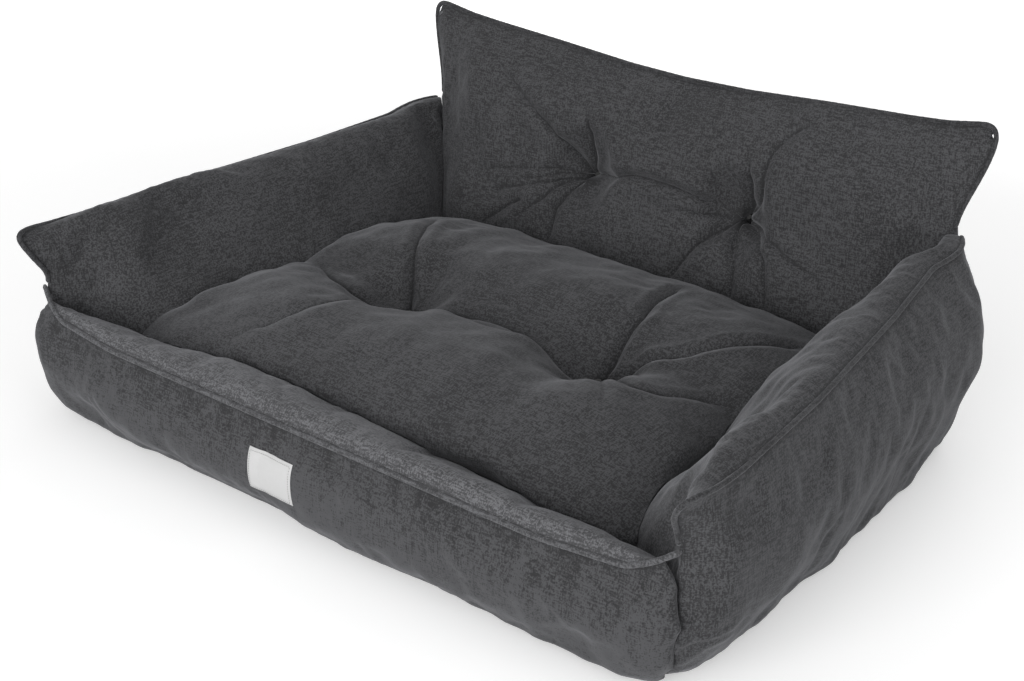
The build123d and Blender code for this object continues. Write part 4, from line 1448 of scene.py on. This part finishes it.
SEAT_CREASES = (
    Crease(((-137, -22), (-156, 6), (-177, 33), (-200, 70), (-222, 110), (-240, 150)), 6.0, 8.0),
    Crease(((-137, -22), (-165, -45), (-198, -58), (-240, -45), (-285, -20)), 5.0, 8.0),
    Crease(((-137, -22), (-150, -80), (-150, -130), (-160, -180), (-199, -244)), 3.0, 9.0, 0.3),
    Crease(
        ((-137, -22), (-100, -40), (-50, -30), (0, -24), (50, -30), (100, -38), (137, -22)),
        4.0, 10.0, 0.0,
    ),
    Crease(
        ((137, -22), (135, 5), (134, 34), (137, 60), (124, 105), (116, 143), (110, 180)),
        6.0, 7.0, 0.2,
    ),
    Crease(
        ((137, -22), (174, 2), (200, 9), (220, 22), (236, 48), (254, 76), (268, 102), (294, 167)),
        5.0, 7.0, 0.3,
    ),
    Crease(
        ((137, -22), (185, -60), (225, -85), (249, -75), (270, -41), (290, -20), (308, -12)),
        4.0, 8.0,
    ),
    Crease(((137, -22), (165, -60), (212, -116), (238, -150)), 2.5, 8.0),
)


@dataclass
class SeatCushion:
    """Loose seat cushion with two tufts and a zip in its rear seam."""

    tufts: tuple[tuple[float, float], ...] = ((-0.137, -0.022), (0.137, -0.022))
    tuft_shade_reach: float = 0.01
    tuft_throat: Span = (0.098, 0.11)
    tuft_hold: float = 0.02
    foot_hold: Span = (0.01, 0.03)
    wall_gap: float = 0.0012
    voxel: float = 0.005
    top_level: float = 0.1
    half_x: float = 0.308
    half_y: float = 0.231
    middle_y: float = -0.016
    seam_z: float = ZIP_SEAM_Z
    zip_half: float = 0.1715
    zip_level: float = 0.2132
    zip_reach: float = 0.0062
    dent_wave: float = 0.08
    dent: float = 0.0018
    fine_wave: float = 0.03
    fine_dent: float = 0.0007
    corner_out: Span = (0.026, 0.014)
    corner_along: Span = (-0.018, 0.02)
    end_along: Span = (-0.008, 0.004)
    corner_drop: float = 0.014
    side_drop: float = 0.009
    slope_drop: float = 0.014
    rear_drop: float = 0.005
    shoulder: tuple[tuple[float, float], ...] = (
        (0.1, 2.0), (0.118, 9.0), (0.13, 18.0), (0.14, 23.0), (0.15, 22.0), (0.16, 15.0), (0.17, 0.0),
    )

    def build(self, body: str, cloth: bpy.types.Material, walls: Sequence[SoftForm]) -> None:
        """Make the cushion and tie it to the body.

        Args:
            body: body that it rides on.
            cloth: cover cloth.
            walls: covers that the cushion presses against.
        """
        form = SoftForm("seat_cover", ["seat_top_panel", "seat_bottom_panel", "seat_filling"], self.voxel)
        form.points = self.fill_well(form.points)
        form.smooth(times=4, share=0.5)
        points = form.points
        pins = 1 - ease(points[:, 2], *self.foot_hold)
        for x, y in self.tufts:
            gap = np.hypot(points[:, 0] - x, points[:, 1] - y)
            pins = np.maximum(pins, np.clip(1.4 - gap / self.tuft_hold, 0, 1))
        form.puff(pins, CLOTH_PRESSURE, slack=0.01, cap=0.005)
        form.subdivide()
        points = form.points
        gaps = [crease.gap_at(points[:, :2])[0] for crease in SEAT_CREASES]
        form.refine((np.min(gaps, axis=0) < FOLD_REACH) & (points[:, 2] > self.top_level))
        self.detail(form)
        for x, y in self.tufts:
            form.pinch((x, y, 0.12), axis=2, depth=ease(form.points[:, 2], *self.tuft_throat))
        form.clear_of(walls, self.wall_gap)
        self.level_zip(form)
        # painted shade in the folds and tufts, kept on the mesh as the fold mark
        form.mark("fold", self.shade(form.points))
        cover = form.dress([cloth])
        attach(cover, body)
        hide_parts("seat_top_panel", "seat_bottom_panel", "seat_filling")
        log.info("seat_cover: %d points", len(cover.data.vertices))

    def fill_well(self, points: np.ndarray) -> np.ndarray:
        """Swell the sides and corners until they meet the walls.

        Args:
            points: the plain cushion's points.

        Returns:
            The fuller cushion's points.
        """
        u = points[:, 0] / self.half_x
        v = (points[:, 1] - self.middle_y) / self.half_y
        high = ease(points[:, 2], 0.05, 0.115)
        side = ease(np.abs(u), 0.6, 1.0)
        levels, reach = np.array(self.shoulder).T
        shoulder = np.interp(points[:, 2], levels, reach) / 1000
        corner = ease(np.abs(u * v), 0.5, 0.85)
        front = (v < 0).astype(float)
        ends = ease(np.abs(v), 0.65, 1.0)
        slope = ease(points[:, 1], -0.18, -0.06) * (1 - ease(points[:, 1], -0.03, 0.04))
        slope *= 1 - ease(np.abs(points[:, 0] + 0.03), 0.17, 0.26)
        rear = ease(points[:, 1], 0.03, 0.14)
        plain, further = self.corner_out
        points[:, 0] += np.sign(u) * high * (side * shoulder + corner * (plain + further * front))
        drawn = corner * np.where(v < 0, *self.corner_along) + ends * np.where(v < 0, *self.end_along)
        points[:, 1] += high * drawn
        drop = corner * self.corner_drop + side * self.side_drop
        points[:, 2] -= high * (drop + slope * self.slope_drop + rear * self.rear_drop)
        return points

    def detail(self, form: SoftForm) -> None:
        """Draw the folds from the tufts and dent the cover.

        Args:
            form: the cushion's form.
        """
        points, normals = form.points, form.normals
        top = np.clip(normals[:, 2] * 2 + 0.2, 0, 1) * (points[:, 2] > self.top_level)
        push = sum(crease.depth_at(points[:, :2]) for crease in SEAT_CREASES) * top
        high = np.clip((points[:, 2] - 0.02) / 0.02, 0, 1)
        push += cloud(points, self.dent_wave, 11) * self.dent * high
        push += cloud(points, self.fine_wave, 12) * self.fine_dent * high
        form.push(push)

    def shade(self, points: np.ndarray) -> np.ndarray:
        """Painted shade: dark lines at the bottom of the folds and in the tufts.

        Args:
            points: places of the mesh's points.

        Returns:
            Darkness of each point, from 0 to 1.
        """
        flat = points[:, :2]
        dark = np.max([crease.shade_at(flat) for crease in SEAT_CREASES], axis=0) * 0.8
        for tuft in self.tufts:
            gap = np.linalg.norm(flat - tuft, axis=1)
            dark = np.maximum(dark, bell(gap, self.tuft_shade_reach))
        return dark * (points[:, 2] > self.top_level)

    def level_zip(self, form: SoftForm) -> None:
        """Even out the strip of the rear seam that carries the zip.

        Args:
            form: the cushion's form.
        """
        points = form.points
        near = np.abs(points[:, 0]) < self.zip_half
        near &= np.abs(points[:, 2] - self.seam_z) < self.zip_reach
        near &= points[:, 1] > 0.2
        points[near, 1] = np.minimum(points[near, 1], self.zip_level)
        form.points = points


# Label


@dataclass
class Label:
    """Blank label on the front wall, with a sewn border."""

    wall: SoftForm
    left: float = field(init=False)
    right: float = field(init=False)
    low: float = field(init=False)
    high: float = field(init=False)
    width: float = 0.062
    height: float = 0.046
    margin: float = 0.0026
    pitch: float = 0.0026
    base_off: float = 0.0003
    thickness: float = 0.0011
    seam_depth: float = 0.0005
    turned_edge: float = 0.0012
    seam_half: float = 0.0008
    stitch_radius: float = 0.00035
    stitch_height: float = 0.0013

    def __post_init__(self) -> None:
        """Take the label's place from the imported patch."""
        (self.left, _, self.low), (self.right, _, self.high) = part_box("label_patch")

    def depth(self, x: float, z: float) -> float:
        """Where the wall's surface stands at a place on it.

        Args:
            x: place across.
            z: height.

        Returns:
            The surface's Y.
        """
        hit = self.surface.ray_cast(Vector((x, -0.6, z)), Vector((0, 1, 0)))[0]
        return hit.y

    def build(self, body: str, cloth: bpy.types.Material, thread: bpy.types.Material) -> None:
        """Make the patch and its stitches and tie them to the body.

        Args:
            body: body that they ride on.
            cloth: cloth of the patch.
            thread: sewing thread.
        """
        self.surface = self.wall.tree()
        patch = self.patch()
        patch.data.materials.append(cloth)
        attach(patch, body)
        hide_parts("label_patch")
        border = self.border()
        border.data.materials.append(thread)
        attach(border, body)
        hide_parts("label_stitching")
        log.info("label: %d points", len(patch.data.vertices) + len(border.data.vertices))

    def spot(self, u: float, v: float, off: float) -> Vector:
        """Point of the label, standing off the wall.

        Args:
            u: share of the way across.
            v: share of the way up.
            off: distance from the wall's surface.

        Returns:
            The point.
        """
        x = self.left + (self.right - self.left) * u
        z = self.low + (self.high - self.low) * v
        return Vector((x, self.depth(x, z) - off, z))

    def patch(self) -> bpy.types.Object:
        """The patch: a thin cushion of cloth with turned-under edges.

        Returns:
            The new object.
        """
        shape = bmesh.new()
        across, up = 40, 30
        grid = []
        for j in range(up + 1):
            row = []
            for i in range(across + 1):
                u, v = i / across, j / up
                edge = min(min(u, 1 - u) * self.width, min(v, 1 - v) * self.height)
                turned = 1 - math.exp(-edge / self.turned_edge)
                seam = math.exp(-(((edge - self.margin) / self.seam_half) ** 2))
                off = self.base_off + self.thickness * turned - self.seam_depth * seam
                row.append(shape.verts.new(self.spot(u, v, off)))
            grid.append(row)
        skin(shape, grid)
        return piece_from(shape, "label_cover")

    def border(self) -> bpy.types.Object:
        """Stitches round the patch.

        Returns:
            The new object.
        """
        shape = bmesh.new()
        width, height = self.right - self.left, self.high - self.low
        inset_u, inset_v = self.margin / width, self.margin / height
        runs = []
        for v in (inset_v, 1 - inset_v):
            count = int((width - 2 * self.margin) / self.pitch)
            runs += [(inset_u + (k + 0.5) * (1 - 2 * inset_u) / count, v, True) for k in range(count)]
        for u in (inset_u, 1 - inset_u):
            count = int((height - 2 * self.margin) / self.pitch)
            runs += [(u, inset_v + (k + 0.5) * (1 - 2 * inset_v) / count, False) for k in range(count)]
        for u, v, level in runs:
            centre = self.spot(u, v, self.stitch_height)
            stitch = bmesh.ops.create_uvsphere(
                shape, u_segments=6, v_segments=5, radius=self.stitch_radius
            )
            stretch = Vector((2.6, 1.0, 1.0)) if level else Vector((1.0, 1.0, 2.6))
            for vert in stitch["verts"]:
                vert.co = centre + vert.co * stretch
        return piece_from(shape, "label_border")


# Zip


@dataclass
class ZipCoil:
    """Interlocked turns of the zip's coil."""

    half: float = 0.1674
    pitch: float = 0.0016
    low_y: float = 0.2142
    high_y: float = 0.2157
    seam_z: float = ZIP_SEAM_Z
    width: float = 0.0028
    lean: float = 0.0003
    profile: tuple[tuple[float, float], ...] = (
        (-0.5, 0.0), (-0.42, 0.75), (0.0, 1.0), (0.42, 0.75), (0.5, 0.0),
    )

    def build(self, body: str, nylon: bpy.types.Material) -> None:
        """Make the coil and tie it to the body.

        Args:
            body: body that it rides on.
            nylon: the coil's finish.
        """
        shape = bmesh.new()
        count = int(2 * self.half / self.pitch)
        for k in range(count):
            x = -self.half + (k + 0.5) * 2 * self.half / count
            lean = self.lean if k % 2 else -self.lean
            rows = []
            for dx in (-0.0006, -0.0002, 0.0002, 0.0006):
                thin = 0.75 if abs(dx) > 0.0004 else 1.0
                row = []
                for across, rise in self.profile:
                    y = self.low_y + (self.high_y - self.low_y) * rise * thin
                    z = self.seam_z + across * self.width
                    row.append(shape.verts.new((x + dx + lean * across, y, z)))
                rows.append(row)
            skin(shape, rows)
        bmesh.ops.recalc_face_normals(shape, faces=shape.faces)
        coil = piece_from(shape, "zip_coil_turns")
        coil.data.materials.append(nylon)
        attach(coil, body)
        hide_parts("seat_zip_coil")
        log.info("zip coil: %d turns", count)


# Base


@dataclass
class BaseSheet:
    """Soft sheet under the walls, with rounded corners and turned edges."""

    half_x: float = 0.4
    half_y: float = 0.27
    corner: float = 0.045
    steps: int = 10
    profile: tuple[tuple[float, float], ...] = (
        (0.03, 0.0), (0.002, 0.0001), (0.0, 0.0012), (0.0004, 0.0022), (0.003, 0.0028), (0.03, 0.0028),
    )

    def ring(self, shape: bmesh.types.BMesh, inset: float, height: float) -> list[bmesh.types.BMVert]:
        """One loop of points round the sheet.

        Args:
            shape: mesh that the points go into.
            inset: distance inside the sheet's edge.
            height: level of the loop.

        Returns:
            The loop's points.
        """
        loop = []
        for turn, (sx, sy) in enumerate(((1, 1), (-1, 1), (-1, -1), (1, -1))):
            for k in range(self.steps + 1):
                angle = math.pi / 2 * (turn + k / self.steps)
                x = sx * (self.half_x - self.corner) + (self.corner - inset) * math.cos(angle)
                y = sy * (self.half_y - self.corner) + (self.corner - inset) * math.sin(angle)
                loop.append(shape.verts.new((x, y, height)))
        return loop

    def build(self, body: str, felt: bpy.types.Material) -> None:
        """Make the sheet and tie it to the body.

        Args:
            body: body that it rides on.
            felt: the sheet's cloth.
        """
        shape = bmesh.new()
        skin(shape, [self.ring(shape, inset, height) for inset, height in self.profile], closed=True)
        bmesh.ops.recalc_face_normals(shape, faces=shape.faces)
        sheet = piece_from(shape, "base_sheet")
        sheet.data.materials.append(felt)
        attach(sheet, body)
        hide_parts("base_panel")
        log.info("base sheet: %d points", len(sheet.data.vertices))


# Studio

LIGHTS = (
    ("key", (-0.6, -1.8, 2.4), 2.4, 5.0),
    ("top", (0.4, 0.6, 2.8), 2.6, 2.0),
    ("right", (2.6, -0.4, 1.3), 2.0, 16.0),
    ("front", (0.4, -3.2, 0.9), 2.2, 82.0),
    ("rear", (-0.8, 3.2, 0.8), 2.2, 34.0),
)


@dataclass
class Studio:
    """Pale floor, soft lights and the camera."""

    camera_place: tuple[float, float, float] = (1.1214, -1.3726, 0.9758)
    yaw: float = 39.25
    pitch: float = 26.1675
    lens: float = 61.7
    floor_half: float = 40.0
    floor_z: float = -0.0005
    lit_reach: tuple[float, float] = (0.9, 2.6)
    world_level: float = 0.45

    def build(self) -> None:
        """Set up the floor, the lights, the world and the camera."""
        self.floor()
        for light in LIGHTS:
            self.area(*light)
        world = bpy.data.worlds.new("studio")
        world.use_nodes = True
        background = world.node_tree.nodes["Background"]
        self.white_to_camera(world.node_tree, background, self.world_level)
        bpy.context.scene.world = world
        data = bpy.data.cameras.new("camera")
        data.lens = self.lens
        data.sensor_width = 36.0
        data.clip_end = 50.0
        camera = bpy.data.objects.new("camera", data)
        camera.location = self.camera_place
        camera.rotation_euler = (math.radians(90 - self.pitch), 0.0, math.radians(self.yaw))
        bpy.context.scene.collection.objects.link(camera)
        bpy.context.scene.camera = camera
        bpy.context.scene.view_settings.view_transform = "Standard"

    def white_to_camera(
        self, tree: bpy.types.NodeTree, background: bpy.types.Node, level: float
    ) -> None:
        """White as the camera sees it, and a plain level of light for the object.

        Args:
            tree: the world's node tree.
            background: its background node.
            level: strength of the light.
        """
        background.inputs["Color"].default_value = (1.0, 1.0, 1.0, 1.0)
        path = tree.nodes.new("ShaderNodeLightPath")
        mix = tree.nodes.new("ShaderNodeMapRange")
        mix.inputs["To Min"].default_value = level
        mix.inputs["To Max"].default_value = 1.0
        tree.links.new(path.outputs["Is Camera Ray"], mix.inputs["Value"])
        tree.links.new(mix.outputs["Result"], background.inputs["Strength"])

    def floor(self) -> None:
        """Pale floor under the bed."""
        shape = bmesh.new()
        bmesh.ops.create_grid(shape, x_segments=8, y_segments=8, size=self.floor_half)
        floor = piece_from(shape, "floor")
        floor.location.z = self.floor_z
        build = MaterialBuilder("pale_floor", {"Roughness": 0.9, "Specular IOR Level": 0.1})
        nap = build.group(nap_group, {"Patches": 1.2, "Streaks": 0.0})
        share = build.combine("ADD", build.combine("MULTIPLY", nap.outputs["Tone"], 0.2), 0.5)
        build.colour_between(share, (0.86, 0.86, 0.86), (0.9, 0.9, 0.9))
        path = build.nodes.new("ShaderNodeLightPath")
        place = build.nodes.new("ShaderNodeTexCoord")
        away = build.nodes.new("ShaderNodeVectorMath")
        away.operation = "LENGTH"
        build.links.new(place.outputs["Object"], away.inputs[0])
        far = build.nodes.new("ShaderNodeMapRange")
        far.interpolation_type = "SMOOTHSTEP"
        far.inputs["From Min"].default_value, far.inputs["From Max"].default_value = self.lit_reach
        far.inputs["To Min"].default_value, far.inputs["To Max"].default_value = 0.35, 1.0
        build.links.new(away.outputs["Value"], far.inputs["Value"])
        lift = build.combine("MULTIPLY", path.outputs["Is Camera Ray"], far.outputs["Result"])
        build.shader.inputs["Emission Color"].default_value = (1.0, 1.0, 1.0, 1.0)
        build.links.new(lift, build.shader.inputs["Emission Strength"])
        floor.data.materials.append(build.material)
        floor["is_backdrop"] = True

    def area(self, name: str, place: tuple[float, float, float], size: float, power: float) -> None:
        """Square soft light aimed at the bed.

        Args:
            name: the light's name.
            place: where it hangs.
            size: its side.
            power: its power in watts.
        """
        data = bpy.data.lights.new(name, "AREA")
        data.size = size
        data.energy = power
        light = bpy.data.objects.new(name, data)
        light.location = place
        aim = Vector((0.0, 0.0, 0.15)) - Vector(place)
        light.rotation_euler = aim.to_track_quat("-Z", "Y").to_euler()
        bpy.context.scene.collection.objects.link(light)


# Bed


class DogSofa:
    """The whole bed, dressed piece by piece."""

    def __init__(self) -> None:
        """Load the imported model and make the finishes."""
        self.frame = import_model()
        self.cad_box = [list(corner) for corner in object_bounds()]
        self.cover = Chenille("cover_chenille").material()
        # outer cloth of the front wall, with painted sheen that makes it lighter towards the bottom
        self.outer_front = Chenille(
            "front_outer_chenille",
            tone=0.047,
            patches=1.5,
            streaks=1.8,
            painted_low_sheen=0.5,
            sheen_low=0.03,
            sheen_high=0.125,
        ).material()
        # a lighter copy of the cover cloth for the strip above and behind the front piping: partly the
        # nap brushed the other way, partly painted light
        self.brushed = Chenille("brushed_chenille", tone=0.1, streaks=0.2).material()
        self.cord = Chenille("piping_chenille", tone=0.045).material()
        # painted highlight: a lighter copy of the piping cloth for the front piping, where it catches the
        # light
        self.lit_front_cord = Chenille("front_piping_chenille", tone=0.08).material()
        self.label_cloth = PlainCloth(
            "label_satin", tone=0.52, scale=1.2, contrast=0.35, sheen=0.2, roughness=0.5
        ).material()
        self.thread = PlainCloth("label_thread", tone=0.3, scale=2.0, contrast=0.5).material()
        self.twine = PlainCloth("tuft_twine", tone=0.04, scale=2.0, contrast=1.0).material()
        self.tape = PlainCloth("zip_tape_weave", tone=0.03, scale=2.0, contrast=1.0).material()
        self.base = PlainCloth("base_felt", tone=0.03, scale=0.8, contrast=0.8).material()
        self.nylon = Enamel("zip_nylon", tone=0.03, metallic=0.0, roughness=0.4).material()
        self.metal = Enamel("zip_enamel", tone=0.08, metallic=0.9, roughness=0.35).material()

    def dress_nodes(self) -> None:
        """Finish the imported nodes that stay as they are."""
        finishes = {
            "back_tuft_tie_left": self.twine,
            "back_tuft_tie_right": self.twine,
            "seat_tuft_tie_left": self.twine,
            "seat_tuft_tie_right": self.twine,
            "seat_zip_tapes": self.tape,
            "seat_zip_stops": self.metal,
            "zip_slider": self.metal,
            "zip_pull": self.metal,
        }
        for name, material in finishes.items():
            mesh = self.frame["nodes"][name].data
            mesh.materials.clear()
            mesh.materials.append(material)
            log.info("%s: dressed", name)

    def walls(self) -> list[WallCover]:
        """Build the four walls.

        Returns:
            The walls, the front one first.
        """
        front = FrontWall(
            "front_cover",
            ("front_outer_panel", "front_inner_panel", "front_filling"),
            "front_piping",
            Path3D(metres(FRONT_RIM)),
            seed=2,
        )
        walls = [front]
        for side in Side:
            word = side.name.lower()
            wall = SideWall(
                f"{word}_cover",
                (f"{word}_outer_panel", f"{word}_inner_panel", f"{word}_filling"),
                f"{word}_piping",
                Path3D(metres(SIDE_RIM, side.value)),
                seed=4 + side.value,
                side=side,
            )
            walls.append(wall)
        back = BackWall(
            "back_cover",
            ("back_outer_panel", "back_inner_panel", "back_filling"),
            "back_piping",
            Path3D(metres(BACK_EAR, -1) + metres(BACK_TOP) + metres(BACK_EAR[::-1])),
            seed=7,
            creases=BACK_CREASES,
        )
        walls.append(back)
        for wall in walls:
            wall.shape()
        front_form, left, right, rear = (wall.form for wall in walls)
        for first, second in ((front_form, left), (front_form, right), (rear, left), (rear, right)):
            first.close_up(second)
        for wall in walls:
            # the front wall's cloths carry painted light: sheen low on the outer side and a lighter copy
            # above the piping
            outer = [self.outer_front, self.brushed] if wall is front else [self.cover]
            # the front piping takes the lighter cord with its painted highlight
            wall.build("bed", outer, self.lit_front_cord if wall is front else self.cord)
        return walls

    def build(self) -> None:
        """Build every piece in order."""
        walls = self.walls()
        Label(wall=walls[0].form).build("bed", self.label_cloth, self.thread)
        SeatCushion().build("cushion", self.cover, [wall.form for wall in walls])
        ZipCoil().build("cushion", self.nylon)
        BaseSheet().build("bed", self.base)
        self.dress_nodes()


def main() -> None:
    """Dress the bed and set up the studio."""
    logging.basicConfig(level=logging.INFO, format="%(message)s")
    bed = DogSofa()
    bed.build()
    Studio().build()


if __name__ == "__main__":
    main()
